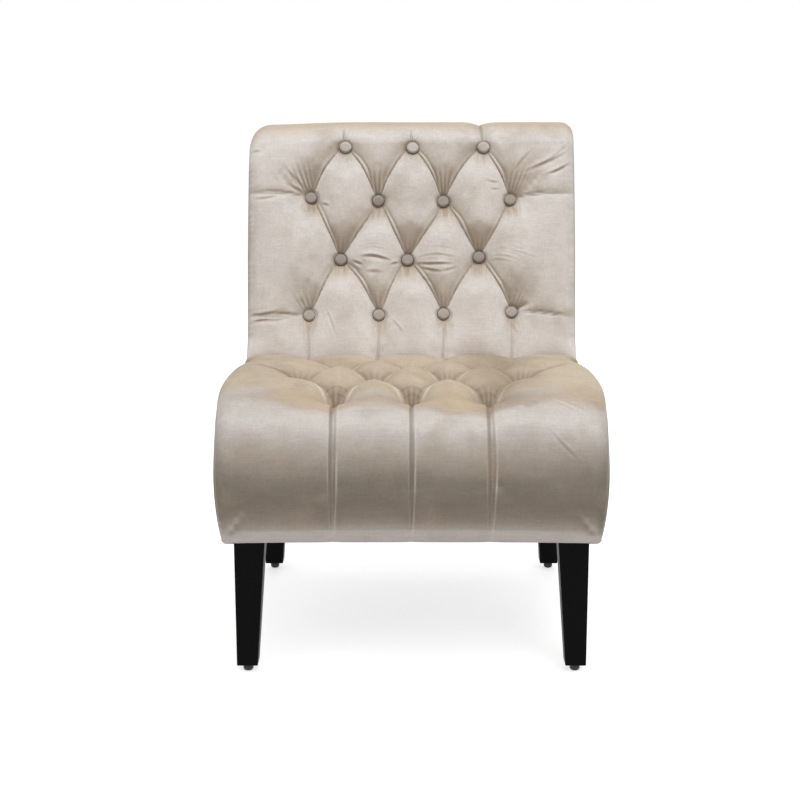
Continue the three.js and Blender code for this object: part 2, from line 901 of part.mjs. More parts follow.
// A hole for a leg bolt, from below the frame to just past the bolt's tip.
function boltHole(centre) {
  const floor = leg_height - cut_overrun;
  const tip = leg_height + bolt_length + bolt_clearance;
  const geometry = new THREE.CylinderGeometry(
    bolt_radius + bolt_clearance,
    bolt_radius + bolt_clearance,
    tip - floor,
    bolt_sides,
  );
  geometry.rotateX(Math.PI / 2);
  geometry.translate(centre.x, centre.y, (floor + tip) / 2);
  return geometry;
}

// The back posts: dog-legged boards that stand on the rear legs and lean with the outside line.
function addPosts() {
  const rear_inset = panel_thickness + touch_gap;
  const front_inset = rear_inset + post_depth;
  const top = outside.along - top_rail_below_roll;
  const outline = [
    new THREE.Vector2(base_depth - front_inset, frame_floor),
    new THREE.Vector2(base_depth - rear_inset, frame_floor),
    kickPoint(rear_inset),
    rakedPoint(top, rear_inset),
    rakedPoint(top, front_inset),
    kickPoint(front_inset),
  ];
  const outer = inner_half - 2 * touch_gap - board;
  for (const side of [-1, 1]) {
    const x0 = side < 0 ? -outer : outer - post_width;
    const post = solidOf(acrossWidth(outline, x0, x0 + post_width));
    const bored = post.subtract(solidOf(boltHole(legCentre(side, true))));
    addPiece(side < 0 ? "left_back_post" : "right_back_post", geometryOf(bored), finishes.timber);
  }
}

// A rail between the back posts, flush with their front faces.
function addBackRail(name, from, to) {
  const front_inset = panel_thickness + touch_gap + post_depth;
  const rear_inset = front_inset - back_rail_board;
  const outline = [
    rakedPoint(from, front_inset),
    rakedPoint(from, rear_inset),
    rakedPoint(to, rear_inset),
    rakedPoint(to, front_inset),
  ];
  const half = inner_half - 3 * touch_gap - board - post_width;
  addPiece(name, acrossWidth(outline, -half, half), finishes.timber);
}

function addBackRails() {
  const top = outside.along - top_rail_below_roll;
  addBackRail("back_top_rail", top - back_rail_height, top);
  addBackRail("back_lower_rail", low_rail_above_kick, low_rail_above_kick + back_rail_height);
}

// Elastic straps stretched up the back between its two rails.
function addStraps() {
  const near = panel_thickness + 2 * touch_gap + post_depth;
  const far = near + strap_thickness;
  const low = low_rail_above_kick;
  const top = outside.along - top_rail_below_roll;
  const outline = [rakedPoint(low, far), rakedPoint(low, near), rakedPoint(top, near), rakedPoint(top, far)];
  for (let i = 0; i < strap_count; i += 1) {
    const x = (i - (strap_count - 1) / 2) * strap_pitch;
    const strap = acrossWidth(outline, x - strap_width / 2, x + strap_width / 2);
    addPiece(`back_strap_${i + 1}`, strap, finishes.webbing);
  }
}

// Three-cornered blocks glued into the seat frame's corners. The front pair take the leg bolts.
function addCornerBlocks() {
  const corner_x = inner_half - 2 * touch_gap - board;
  const front_y = front_rail_from_nose + board + touch_gap;
  const rear_y = rear_rail_front - touch_gap;
  for (const side of [-1, 1]) {
    for (const rear of [false, true]) {
      const y = rear ? rear_y : front_y;
      const toward = rear ? -1 : 1;
      const plan = new THREE.Shape([
        new THREE.Vector2(side * corner_x, y),
        new THREE.Vector2(side * (corner_x - block_leg), y),
        new THREE.Vector2(side * corner_x, y + toward * block_leg),
      ]);
      const block = new THREE.ExtrudeGeometry(plan, { depth: block_height, bevelEnabled: false });
      block.translate(0, 0, frame_floor);
      const plain = solidOf(block);
      const solid = rear ? plain : plain.subtract(solidOf(boltHole(legCentre(side, false))));
      const name = `${rear ? "rear" : "front"}_${side < 0 ? "left" : "right"}_corner_block`;
      addPiece(name, geometryOf(solid), finishes.timber);
    }
  }
}

// A square with its four arrises taken off.
function arrisedSquare(x0, x1, y0, y1, z) {
  const cut = leg_arris;
  return [
    new THREE.Vector3(x0 + cut, y0, z),
    new THREE.Vector3(x1 - cut, y0, z),
    new THREE.Vector3(x1, y0 + cut, z),
    new THREE.Vector3(x1, y1 - cut, z),
    new THREE.Vector3(x1 - cut, y1, z),
    new THREE.Vector3(x0 + cut, y1, z),
    new THREE.Vector3(x0, y1 - cut, z),
    new THREE.Vector3(x0, y0 + cut, z),
  ];
}

// A solid between two rings of points, flat at both ends.
function ringLoft(low, high) {
  const count = low.length;
  const points = [...low, ...high];
  const faces = [];
  for (let i = 0; i < count; i += 1) {
    const next = (i + 1) % count;
    faces.push(i, next, count + next, i, count + next, count + i);
  }
  for (let i = 1; i + 1 < count; i += 1) {
    faces.push(0, i + 1, i, count, count + i, count + i + 1);
  }
  const geometry = new THREE.BufferGeometry();
  const places = points.flatMap((point) => [point.x, point.y, point.z]);
  geometry.setAttribute("position", new THREE.Float32BufferAttribute(places, 3));
  geometry.setIndex(faces);
  return geometry;
}

// A leg, tapered on its inner sides, with its hanger bolt standing in its top, and its glide.
function addLeg(side, rear) {
  const name = `${rear ? "rear" : "front"}_${side < 0 ? "left" : "right"}`;
  const centre = legCentre(side, rear);
  const top_half = leg_top_size / 2;
  const taper = leg_top_size - leg_foot_size;
  const splay = rear ? rear_leg_splay : 0;
  const outer = centre.x + side * top_half;
  const foot_inner = outer - side * leg_foot_size;
  const foot_front = centre.y - top_half + splay + (rear ? taper : 0);
  const foot_x0 = Math.min(outer, foot_inner);
  const foot_floor = glide_height + touch_gap;
  const foot = arrisedSquare(
    foot_x0,
    foot_x0 + leg_foot_size,
    foot_front,
    foot_front + leg_foot_size,
    foot_floor,
  );
  const top = arrisedSquare(
    centre.x - top_half,
    centre.x + top_half,
    centre.y - top_half,
    centre.y + top_half,
    leg_height,
  );
  const bolt = new THREE.CylinderGeometry(bolt_radius, bolt_radius, 2 * bolt_length, bolt_sides);
  bolt.rotateX(Math.PI / 2);
  bolt.translate(centre.x, centre.y, leg_height);
  const leg = solidOf(ringLoft(foot, top)).add(solidOf(bolt));
  addPiece(`${name}_leg`, geometryOf(leg), finishes.lacquer);

  const glide = addPiece(`${name}_glide`, glideGeometry(), finishes.glide);
  glide.position.set(foot_x0 + leg_foot_size / 2, foot_front + leg_foot_size / 2, 0);
}

// A glide: a disc with a rounded lower edge and a flat tread.
function glideGeometry() {
  const outline = new THREE.Path();
  outline.moveTo(0, 0);
  outline.lineTo(glide_radius - glide_edge, 0);
  outline.absarc(glide_radius - glide_edge, glide_edge, glide_edge, -Math.PI / 2, 0, false);
  outline.lineTo(glide_radius, glide_height);
  outline.lineTo(0, glide_height);
  const geometry = new THREE.LatheGeometry(outline.getPoints(glide_edge_steps), glide_sides);
  geometry.rotateX(Math.PI / 2);
  return geometry;
}

// The dust cover: a black sheet stapled under the frame, pierced by the leg bolts.
function addDustCover() {
  const half = inner_half - dust_cover_inset;
  const sheet = boxBetween(
    -half,
    half,
    front_rail_from_nose + dust_cover_inset,
    base_depth - panel_thickness - dust_cover_inset,
    base_floor,
    base_floor + dust_cover_thickness,
  );
  let solid = solidOf(sheet);
  for (const side of [-1, 1]) {
    for (const rear of [false, true]) {
      solid = solid.subtract(solidOf(boltHole(legCentre(side, rear))));
    }
  }
  addPiece("dust_cover", geometryOf(solid), finishes.lining);
}

function addLegs() {
  for (const side of [-1, 1]) {
    addLeg(side, false);
    addLeg(side, true);
  }
}

addLegs();
addDustCover();
addSideRails();
addClippedRail("front_rail", front_rail_from_nose);
addClippedRail("rear_rail", rear_rail_front);
addCornerBlocks();
addPosts();
addBackRails();
addStraps();
addSprings();
addDeck();
addSeatFoam();
addBackFoam();
addOutsidePanel();
addCoversAndButtons();

chair.position.y = -overall_depth / 2;

export default chair;
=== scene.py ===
"""A button-tufted slipper chair: velvet covers, buttons, legs and inner parts, built round its CAD frame."""

from __future__ import annotations

import json
import logging
import math
from dataclasses import dataclass, replace
from enum import Enum

import bmesh
import bpy
import numpy as np
from mathutils import Matrix, Vector

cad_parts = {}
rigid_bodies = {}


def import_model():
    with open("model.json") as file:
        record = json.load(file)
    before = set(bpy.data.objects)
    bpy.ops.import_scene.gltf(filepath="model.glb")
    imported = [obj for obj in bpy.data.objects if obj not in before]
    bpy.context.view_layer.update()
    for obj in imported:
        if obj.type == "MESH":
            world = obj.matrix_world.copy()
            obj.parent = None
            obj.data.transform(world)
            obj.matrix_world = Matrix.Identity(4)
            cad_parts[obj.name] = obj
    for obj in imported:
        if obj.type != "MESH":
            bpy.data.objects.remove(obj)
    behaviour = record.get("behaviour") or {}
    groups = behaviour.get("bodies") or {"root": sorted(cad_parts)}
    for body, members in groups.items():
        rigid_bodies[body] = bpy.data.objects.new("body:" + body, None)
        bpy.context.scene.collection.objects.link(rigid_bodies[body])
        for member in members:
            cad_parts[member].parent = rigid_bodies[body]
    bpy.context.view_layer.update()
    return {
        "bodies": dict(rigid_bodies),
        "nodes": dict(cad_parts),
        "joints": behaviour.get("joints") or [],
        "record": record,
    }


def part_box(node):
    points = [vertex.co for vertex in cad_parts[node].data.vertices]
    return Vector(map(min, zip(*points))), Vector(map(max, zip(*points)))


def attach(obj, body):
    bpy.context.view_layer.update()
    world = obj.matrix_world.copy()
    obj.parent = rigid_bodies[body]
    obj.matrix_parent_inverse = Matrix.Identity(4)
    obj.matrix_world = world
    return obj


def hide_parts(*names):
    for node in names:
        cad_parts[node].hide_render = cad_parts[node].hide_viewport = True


log = logging.getLogger("slipper_chair")

ROOT_BODY = "root"
MILLIMETRE = 0.001
FULL_TURN = 2.0 * math.pi
QUARTER_TURN = 0.5 * math.pi

Colour = tuple[float, float, float, float]
Place = tuple[float, float]
Triple = tuple[float, float, float]
Array = np.ndarray
Piece = bpy.types.Object
Material = bpy.types.Material


class Slot(Enum):
    """The record's material slots."""

    VELVET = "velvet"
    LACQUER = "leg_lacquer"
    GLIDE = "glide"
    TIMBER = "timber"
    STEEL = "spring_steel"
    FOAM = "foam"
    WEBBING = "webbing"
    LINING = "dust_cloth"


class Side(Enum):
    """The sitter's left and right, as signs of X."""

    LEFT = -1
    RIGHT = 1


def tint(red: int, green: int, blue: int) -> Colour:
    """Turns a display colour of 0 to 255 into the linear colour that a shader takes.

    Args:
        red: The red channel.
        green: The green channel.
        blue: The blue channel.

    Returns:
        The linear colour with an alpha of one.
    """
    knee, slope, offset, power = 0.04045, 12.92, 0.055, 2.4
    linear = []
    for channel in (red, green, blue):
        share = channel / 255.0
        if share <= knee:
            linear.append(share / slope)
        else:
            linear.append(((share + offset) / (1.0 + offset)) ** power)
    return (linear[0], linear[1], linear[2], 1.0)


def smooth_step(values: Array, low: float, high: float) -> Array:
    """Eases from 0 at low to 1 at high.

    Args:
        values: The values to ease.
        low: Where the step starts.
        high: Where the step ends.

    Returns:
        The eased shares.
    """
    share = np.clip((values - low) / (high - low), 0.0, 1.0)
    return share * share * (3.0 - 2.0 * share)


@dataclass(frozen=True)
class ChairSizes:
    """Sizes of the whole chair in metres, measured back from the front of the nose and up from the floor."""

    width: float = 0.608
    height: float = 0.831
    base_floor: float = 0.2323
    seat_height: float = 0.44
    seat_depth: float = 0.465
    base_depth: float = 0.596
    back_rake: float = math.radians(17.2)
    roll_radius: float = 0.048
    kick_height: float = 0.406
    rear_wrap: float = 0.062
    side_bulge: float = 0.008
    side_draw: float = 0.0055
    panel_inset: float = 0.0122

    @property
    def half(self) -> float:
        """Half the width over the nose."""
        return self.width / 2.0 - self.side_bulge

    @property
    def back_half(self) -> float:
        """Half the width of the back and of the rear of the seat."""
        return self.half - self.side_draw

    @property
    def roll_centre(self) -> tuple[float, float]:
        """Depth and height of the centre of the top roll."""
        rise = self.height - self.roll_radius - self.seat_height
        depth = self.seat_depth + rise * math.tan(self.back_rake)
        return depth + self.roll_radius / math.cos(self.back_rake), self.height - self.roll_radius

    @property
    def front(self) -> float:
        """World Y of the front of the nose."""
        return -(self.roll_centre[0] + self.roll_radius) / 2.0

    @property
    def lean(self) -> float:
        """How far the outside of the back leans from upright."""
        across = self.roll_centre[0] - self.base_depth
        up = self.roll_centre[1] - self.kick_height
        return math.atan2(across, up) + math.asin(self.roll_radius / math.hypot(across, up))

    @property
    def lean_run(self) -> float:
        """Length of the leaning line from the kick to the top roll."""
        across = self.roll_centre[0] - self.base_depth
        up = self.roll_centre[1] - self.kick_height
        return math.sqrt(across * across + up * up - self.roll_radius * self.roll_radius)

    def leaning_point(self, along: float) -> tuple[float, float]:
        """Depth and height at a distance up the leaning outside line."""
        return (
            self.base_depth + along * math.sin(self.lean),
            self.kick_height + along * math.cos(self.lean),
        )


CHAIR = ChairSizes()


class Outline:
    """A side outline in depth and height that is read by the distance along it."""

    arc_steps = 160

    def __init__(self, start: tuple[float, float], outward: int = 1) -> None:
        """Starts an outline.

        Args:
            start: Depth and height of its first point.
            outward: 1 if the outside is on the right of the way it runs, or -1 if it is on the left.
        """
        self.points = [np.array(start, float)]
        self.outward = outward
        self.marks = [0.0]

    def line(self, depth: float, height: float) -> "Outline":
        """Adds a straight stretch, in short steps so that its normals stay its own."""
        steps = 8
        last = self.points[-1]
        for step in range(1, steps + 1):
            self.points.append(last + (np.array([depth, height]) - last) * step / steps)
        self.marks.append(self.length)
        return self

    def arc(self, centre: Place, radii: Place, start: float, end: float) -> "Outline":
        """Adds an arc of an ellipse between two angles."""
        for step in range(1, self.arc_steps + 1):
            turn = start + (end - start) * step / self.arc_steps
            self.points.append(
                np.array([centre[0] + radii[0] * math.cos(turn), centre[1] + radii[1] * math.sin(turn)])
            )
        self.marks.append(self.length)
        return self

    @property
    def length(self) -> float:
        """The whole length."""
        steps = np.diff(np.array(self.points), axis=0)
        return float(np.hypot(steps[:, 0], steps[:, 1]).sum())

    def at(self, distance: Array) -> tuple[Array, Array]:
        """Reads places and outward directions.

        Args:
            distance: Distances along the outline.

        Returns:
            Depths and heights, and unit outward directions, one row for each distance.
        """
        points = np.array(self.points)
        steps = np.diff(points, axis=0)
        lengths = np.hypot(steps[:, 0], steps[:, 1])
        run = np.concatenate([[0.0], np.cumsum(lengths)])
        middle = (run[:-1] + run[1:]) / 2.0
        tangent = steps / lengths[:, None]
        place = np.stack([np.interp(distance, run, points[:, i]) for i in range(2)], axis=-1)
        along = np.stack([np.interp(distance, middle, tangent[:, i]) for i in range(2)], axis=-1)
        outward = self.outward * np.stack([along[..., 1], -along[..., 0]], axis=-1)
        return place, outward / np.linalg.norm(outward, axis=-1, keepdims=True)


@dataclass(frozen=True)
class Pleat:
    """A folded valley between two places, each given across a cover and along its outline, in metres."""

    start: Place
    end: Place
    depth: tuple[float, float]
    reach: float
    fold: float = 0.0105
    fold_height: float = 0.0015
    bow: float = 0.0
    open_end: bool = False
    sunk_band: bool = False
    flap: int = 0
    # strength sets the painted shade of a pleat's crease lines; lip sets a painted highlight along its front
    # lip.
    strength: float = 1.0
    lip: float = 0.0


@dataclass(frozen=True)
class Wrinkle:
    """A small fold pressed into the cloth, bowed to one side of the line between its ends."""

    start: Place
    end: Place
    height: float
    width: float
    bow: float = 0.0


@dataclass(frozen=True)
class Gather:
    """A fan of small folds that run into a button."""

    place: Place
    toward: float
    height: float
    reach: float = 0.062
    spread: float = 0.4
    mouth: float = 0.010
    folds: float = 3.2
    lean: float = 0.0


@dataclass
class Relief:
    """The height of a tufted cloth over its plain outline, and the shade and highlights painted on it."""

    buttons: list[tuple[Place, float]]
    pleats: list[Pleat]
    wrinkles: list[Wrinkle]
    gathers: list[Gather]
    button_depth: float
    button_reach: float = 0.075
    button_floor: float = 0.0115
    crown: float = 0.001
    sway: float = 0.0011
    blend_power: float = 4.0
    steep_share: float = 0.28
    steep_power: float = 8.0
    slope_power: float = 2.0
    calm_after: float = 10.0
    # The halo is a tan patch painted below each button: partly the lie of the pile, partly painted shade.
    halo_below: float = 0.0175
    halo_size: Place = (0.0165, 0.0150)
    # The rim is a painted shadow ring round each button, darkest above it; the front lip is a painted
    # highlight below it.
    rim_radius: float = 0.0125
    rim_width: float = 0.0024
    rim_shade: float = 0.9
    front_lip: float = 0.0
    front_lip_radius: float = 0.024
    front_lip_width: float = 0.004
    # Widths and places of the painted crease lines and of the painted highlight along the pleats' lips.
    line_width: float = 0.0010
    band_line_width: float = 0.0014
    lip_ahead: float = 0.0105
    lip_width: float = 0.0036
    crease_depth: float = 0.0010
    furrow_unit: float = 0.0013

    def sway_places(self, across: Array, along: Array) -> tuple[Array, Array]:
        """Shifts places a little, so that no two diamonds are quite alike."""
        pitch = CHAIR.width / FULL_TURN
        over, down = across / pitch, along / pitch
        shift_across = np.sin(down * 3.1 + 0.4) + 0.6 * np.sin(over * 4.3 + down * 5.9)
        shift_along = np.sin(over * 3.7 + 1.3) + 0.6 * np.sin(over * 6.1 - down * 4.7)
        sway = self.sway * (1.0 - 0.8 * smooth_step(along, self.calm_after, self.calm_after + pitch))
        return across + sway * shift_across, along + sway * shift_along

    @staticmethod
    def frame_on(start: Place, end: Place, bow: float, across: Array, along: Array):
        """Reads places against the line between two ends.

        Args:
            start: The line's start.
            end: The line's end.
            bow: How far the line bows to its side at its middle.
            across: Places across the cover.
            along: Places along the outline.

        Returns:
            The share along the line, the signed distance beside it, and the distance from it with its ends.
        """
        run = (end[0] - start[0], end[1] - start[1])
        length = math.hypot(*run)
        raw = ((across - start[0]) * run[0] + (along - start[1]) * run[1]) / (length * length)
        share = np.clip(raw, 0.0, 1.0)
        beside = ((across - start[0]) * run[1] - (along - start[1]) * run[0]) / length
        beside = beside - bow * np.sin(np.pi * share**0.75)
        away = np.hypot(beside, (raw - share) * length)
        return share, beside, away

    def valley(self, pleat: Pleat, across: Array, along: Array) -> Array:
        """How far one pleat draws the cloth in."""
        share, _, away = self.frame_on(pleat.start, pleat.end, pleat.bow, across, along)
        near = np.clip(1.0 - away / pleat.reach, 0.0, 1.0)
        steep = self.steep_share * near**self.steep_power
        section = (1.0 - self.steep_share) * near**self.slope_power + steep
        depth = pleat.depth[0] + (pleat.depth[1] - pleat.depth[0]) * share
        return depth * section

    def fold(self, pleat: Pleat, across: Array, along: Array) -> tuple[Array, Array]:
        """The doubled strip of cloth that lies in a pleat's valley, the painted shade of the creases at its
        sides, and painted highlights along their lips.
        """
        share, beside, away = self.frame_on(pleat.start, pleat.end, pleat.bow, across, along)
        shut_share = 1.0 if not pleat.open_end else 1.0 / 6.0
        closing = np.sin(np.pi * np.minimum(share / shut_share, np.maximum(0.5, share)))
        within = (away <= np.abs(beside) + 1e-9) * (0.25 + 0.75 * closing)
        if pleat.flap:
            return self.flap(pleat, share, beside, closing, within)
        half = 0.5 * pleat.fold * (0.3 + 0.7 * closing)
        inside = np.clip(1.0 - (beside / half) ** 2, 0.0, 1.0)
        line = self.band_line_width if pleat.sunk_band else self.line_width
        near = np.exp(-(((beside + half) / line) ** 2))
        far = np.exp(-(((beside - half) / line) ** 2))
        strip = pleat.fold_height * np.sqrt(inside) * within
        # A sunk band: a painted dark band down the pleat, with painted highlights along its lips and a dark
        # painted line inside.
        if pleat.sunk_band:
            inner = np.exp(-(((beside - 0.08 * half) / (0.7 * line)) ** 2)) * (pleat.fold > 0.01)
            uneven = 0.75 + 0.25 * np.sin(23.0 * share + 50.0 * pleat.start[0])
            lips = (0.45 * near + 1.05 * far + 0.7 * inner) * uneven
            fade = 1.0 - smooth_step(share, 0.45, 0.95)
            band = 0.95 * fade * inside**0.3 * (0.7 - 0.5 * np.clip(beside / half, -1.0, 1.0))
            rise = 0.4 * pleat.fold_height * lips * within - strip * (0.3 + 0.7 * fade)
            return rise, (band - lips) * within
        # A painted highlight along the pleat's front lip.
        ahead = -math.copysign(1.0, pleat.end[0] - pleat.start[0]) * beside
        lip = pleat.lip * np.exp(-(((ahead - self.lip_ahead) / self.lip_width) ** 2))
        return strip, (pleat.strength * (0.75 * far + near) - lip) * within

    def flap(
        self, pleat: Pleat, share: Array, beside: Array, closing: Array, within: Array
    ) -> tuple[Array, Array]:
        """The cloth that laps over a diagonal pleat on its upper side, with a hard crease beside it: the
        crease and the flap's outer edge are painted dark, the flap and a thin line beside the crease painted
        light.
        """
        firm = 1.0 if pleat.flap > 0 else 0.35
        wave = 1.0 + 0.12 * np.sin(9.0 * share + 70.0 * pleat.start[0])
        wave = wave + 0.04 * np.sin(21.0 * share + 50.0 * pleat.end[0])
        width = pleat.fold * (0.45 + 0.55 * closing) * (1.0 - 0.6 * share) * wave
        step = beside * pleat.flap / width
        over = np.clip(step, 0.0, 1.0)
        upper = 1.0 - smooth_step(share, 0.45, 0.8)
        arch = np.sin(np.pi * over**0.6) ** 0.7 * (step > 0.0) * within
        rise = firm * pleat.fold_height * arch * (0.3 + 0.7 * upper)
        crease = (1.1 + 0.5 * firm) * np.exp(-((step * width / 0.0009) ** 2))
        lip = np.exp(-(((step * width + 0.0022) / 0.0012) ** 2)) * 0.9
        shine = (0.6 + 0.5 * firm) * np.sin(np.pi * np.clip(step / (2.0 - firm), 0.0, 1.0) ** 0.7) ** 1.2
        edge = 0.75 * firm * upper * np.exp(-(((step - 1.05) * width / 0.0012) ** 2))
        return rise, (crease - lip - shine + edge) * within

    def wrinkle(self, wrinkle: Wrinkle, across: Array, along: Array) -> Array:
        """One small fold: a ridge with a groove beside it, fading at its ends."""
        share, beside, away = self.frame_on(wrinkle.start, wrinkle.end, wrinkle.bow, across, along)
        middle = np.sin(np.pi * share)
        fade = middle**1.3 * (away <= np.abs(beside) + 1e-9)
        step = beside / (wrinkle.width * (0.55 + 0.45 * middle))
        return wrinkle.height * step * np.exp(0.5 - 0.5 * step * step) * fade

    def gather(self, gather: Gather, across: Array, along: Array) -> tuple[Array, Array]:
        """A fan of small folds on one side of a button, with painted shade in its furrows and painted light
        on its ridges.
        """
        reach = (along - gather.place[1]) * gather.toward
        aside = across - gather.place[0] - gather.lean * reach
        width = gather.mouth + gather.spread * np.maximum(reach, 0.0)
        fan = aside / width
        fade = 1.0 - smooth_step(reach, 0.15 * gather.reach, gather.reach)
        rise = smooth_step(reach, 0.006, 0.016) * fade
        edge = np.clip(1.0 - fan**2, 0.0, 1.0) ** 1.5
        wobble = 0.9 * np.sin(2.0 * fan + gather.place[0] * 90.0 + 40.0 * reach)
        wave = np.cos(FULL_TURN * 0.5 * gather.folds * fan + wobble)
        strength = rise * edge
        furrow = gather.height / self.furrow_unit * (0.36 * (1.0 - wave) ** 2 * 0.5 - 0.30 * (1.0 + wave))
        return gather.height * wave * strength, furrow * strength

    def heights(self, across: Array, along: Array) -> tuple[Array, Array, Array]:
        """Works out the cloth's shape.

        Args:
            across: Places across the cover.
            along: Places along the outline.

        Returns:
            The height over the outline, the painted shade of its creases (negative where highlights are
            painted), how far it is drawn in, and the tan painted below a button.
        """
        across, along = self.sway_places(across, along)
        total = np.zeros_like(across)
        strips = np.zeros_like(across)
        crease = np.zeros_like(across)
        for pleat in self.pleats:
            total += self.valley(pleat, across, along) ** self.blend_power
            strip, line = self.fold(pleat, across, along)
            strips = np.where(np.abs(strip) > np.abs(strips), strip, strips)
            crease = np.where(np.abs(line) > np.abs(crease), line, crease)
        drop = total ** (1.0 / self.blend_power)
        dimple = np.zeros_like(across)
        nearest = np.full_like(across, 1.0)
        halo = np.zeros_like(across)
        rim = np.zeros_like(across)
        for place, share in self.buttons:
            away = np.hypot(across - place[0], along - place[1])
            near = np.clip(1.0 - np.maximum(away - self.button_floor, 0.0) / self.button_reach, 0.0, 1.0)
            dimple += share**3 * near ** (3.0 * self.slope_power)
            nearest = np.minimum(nearest, away)
            # A tan patch painted below each button, where the cloth faces up: partly the pile's lie, partly
            # painted shade.
            beside = (across - place[0]) / self.halo_size[0]
            below = (along - place[1] - self.halo_below) / self.halo_size[1]
            strokes = 0.88 + 0.12 * np.cos(FULL_TURN * 1.3 * beside + 90.0 * place[0])
            halo = np.maximum(halo, share * np.exp(-(np.abs(beside) ** 3) - below * below) * strokes)
            # A painted shadow ring round each button, darkest above it, and a painted highlight on the fold
            # below it.
            above = 0.5 - 0.5 * np.clip((along - place[1]) / np.maximum(away, 1e-6), -1.0, 1.0)
            ring = np.exp(-(((away - self.rim_radius) / self.rim_width) ** 2))
            rim = np.maximum(rim, (0.45 + 0.55 * above) * ring)
            lip = np.exp(-(((away - self.front_lip_radius) / self.front_lip_width) ** 2))
            rim = rim - self.front_lip * (1.0 - above) ** 3 * lip
        clear = smooth_step(nearest, self.button_floor * 0.9, self.button_floor * 1.9)
        drop = drop + self.button_depth * np.minimum(dimple, 1.0) ** (1.0 / 3.0)
        height = self.crown * (1.0 - np.clip(drop / (3.0 * self.crown), 0.0, 1.0)) - drop + strips * clear
        for wrinkle in self.wrinkles:
            height += self.wrinkle(wrinkle, across, along) * clear
        height -= self.crease_depth * np.maximum(crease, 0.0) * clear
        for gather in self.gathers:
            fold, furrow = self.gather(gather, across, along)
            height += fold * clear
            crease = crease + furrow
        return height, crease * clear + self.rim_shade * rim, drop, halo


def grid_piece(name: str, points: Array, material: Material) -> Piece:
    """Lays a bmesh grid over rows and columns of points.

    Args:
        name: The piece's name.
        points: Rows by columns by XYZ, with the outside on the side that the grid turns to.
        material: The piece's material.

    Returns:
        The smooth-shaded object.
    """
    rows, columns = points.shape[:2]
    shape = bmesh.new()
    bmesh.ops.create_grid(shape, x_segments=columns - 1, y_segments=rows - 1, size=1.0)
    bmesh.ops.reverse_faces(shape, faces=shape.faces)
    piece = mesh_piece(name, shape, material)
    piece.data.vertices.foreach_set("co", points.reshape(-1).astype(np.float32))
    piece.data.update()
    return piece


def mesh_piece(
    name: str, shape: bmesh.types.BMesh, material: Material, smooth: bool = True
) -> Piece:
    """Turns a bmesh into a linked object.

    Args:
        name: The piece's name.
        shape: The shape, which is freed.
        material: The piece's material.
        smooth: Whether its faces are shaded smooth.

    Returns:
        The object, at the origin.
    """
    for face in shape.faces:
        face.smooth = smooth
    mesh = bpy.data.meshes.new(name)
    shape.to_mesh(mesh)
    shape.free()
    mesh.materials.append(material)
    piece = bpy.data.objects.new(name, mesh)
    bpy.context.scene.collection.objects.link(piece)
    return piece


def spin_profile(shape: bmesh.types.BMesh, profile: list[Place], steps: int) -> None:
    """Spins a profile of radii and heights round the Z axis."""
    verts = [shape.verts.new((out, 0.0, height)) for out, height in profile]
    edges = [shape.edges.new(pair) for pair in zip(verts, verts[1:])]
    bmesh.ops.spin(
        shape,
        geom=verts + edges,
        cent=(0.0, 0.0, 0.0),
        axis=(0.0, 0.0, 1.0),
        angle=FULL_TURN,
        steps=steps,
        use_merge=True,
    )
    bmesh.ops.remove_doubles(shape, verts=shape.verts, dist=1e-6)


def thicken(piece: Piece, thickness: float, offset: float) -> None:
    """Gives a grid its thickness: to its inside at an offset of -1, and half to each side at 0."""
    wall = piece.modifiers.new("thickness", "SOLIDIFY")
    wall.thickness = thickness
    wall.offset = offset


def write_attribute(piece: Piece, name: str, values: Array) -> None:
    """Stores one number for each point of a piece."""
    attribute = piece.data.attributes.new(name, "FLOAT", "POINT")
    attribute.data.foreach_set("value", values.reshape(-1).astype(np.float32))


def read_points(mesh: bpy.types.Mesh) -> Array:
    """Reads a mesh's points, one row for each."""
    points = np.empty(len(mesh.vertices) * 3, np.float32)
    mesh.vertices.foreach_get("co", points)
    return points.reshape(-1, 3).astype(float)


def read_normals(mesh: bpy.types.Mesh) -> Array:
    """Reads a mesh's normals at its points, one row for each."""
    normals = np.empty(len(mesh.vertices) * 3, np.float32)
    mesh.vertex_normals.foreach_get("vector", normals)
    return normals.reshape(-1, 3).astype(float)


@dataclass(frozen=True)
class Inflation:
    """A short cloth simulation that swells a piece from within, without gravity."""

    pressure: float = 4.0
    frames: int = 14
    quality: int = 4
    mass: float = 0.3
    cap: float = 0.0024

    def offsets(self, piece: Piece, pins: Array | None = None) -> Array:
        """Runs the simulation and takes it off the piece again.

        Args:
            piece: The piece to swell, with its faces outwards.
            pins: How firmly each point is held, from 0 to 1, or None if none is.

        Returns:
            How far each point moves, at most by the cap.
        """
        start = read_points(piece.data)
        cloth = piece.modifiers.new("inflation", "CLOTH")
        cloth.settings.quality = self.quality
        cloth.settings.mass = self.mass
        cloth.settings.use_pressure = True
        cloth.settings.uniform_pressure_force = self.pressure
        cloth.settings.effector_weights.gravity = 0.0
        cloth.collision_settings.use_collision = False
        cloth.point_cache.frame_start = 1
        cloth.point_cache.frame_end = self.frames
        if pins is not None:
            group = piece.vertex_groups.new(name="held")
            for index in np.flatnonzero(pins > 0.01):
                group.add([int(index)], float(pins[index]), "REPLACE")
            cloth.settings.vertex_group_mass = group.name
        scene = bpy.context.scene
        for frame in range(1, self.frames + 1):
            scene.frame_set(frame)
        shown = piece.evaluated_get(bpy.context.evaluated_depsgraph_get())
        moved = read_points(shown.data) - start
        piece.modifiers.remove(cloth)
        scene.frame_set(1)
        size = np.maximum(np.linalg.norm(moved, axis=1), 1e-9)
        middle, most = np.percentile(size, [50, 100]) / MILLIMETRE
        log.info("%s: swells by %.1f mm at half its points, and %.1f mm at most", piece.name, middle, most)
        return moved * (self.cap * np.tanh(size / self.cap) / size)[:, None]


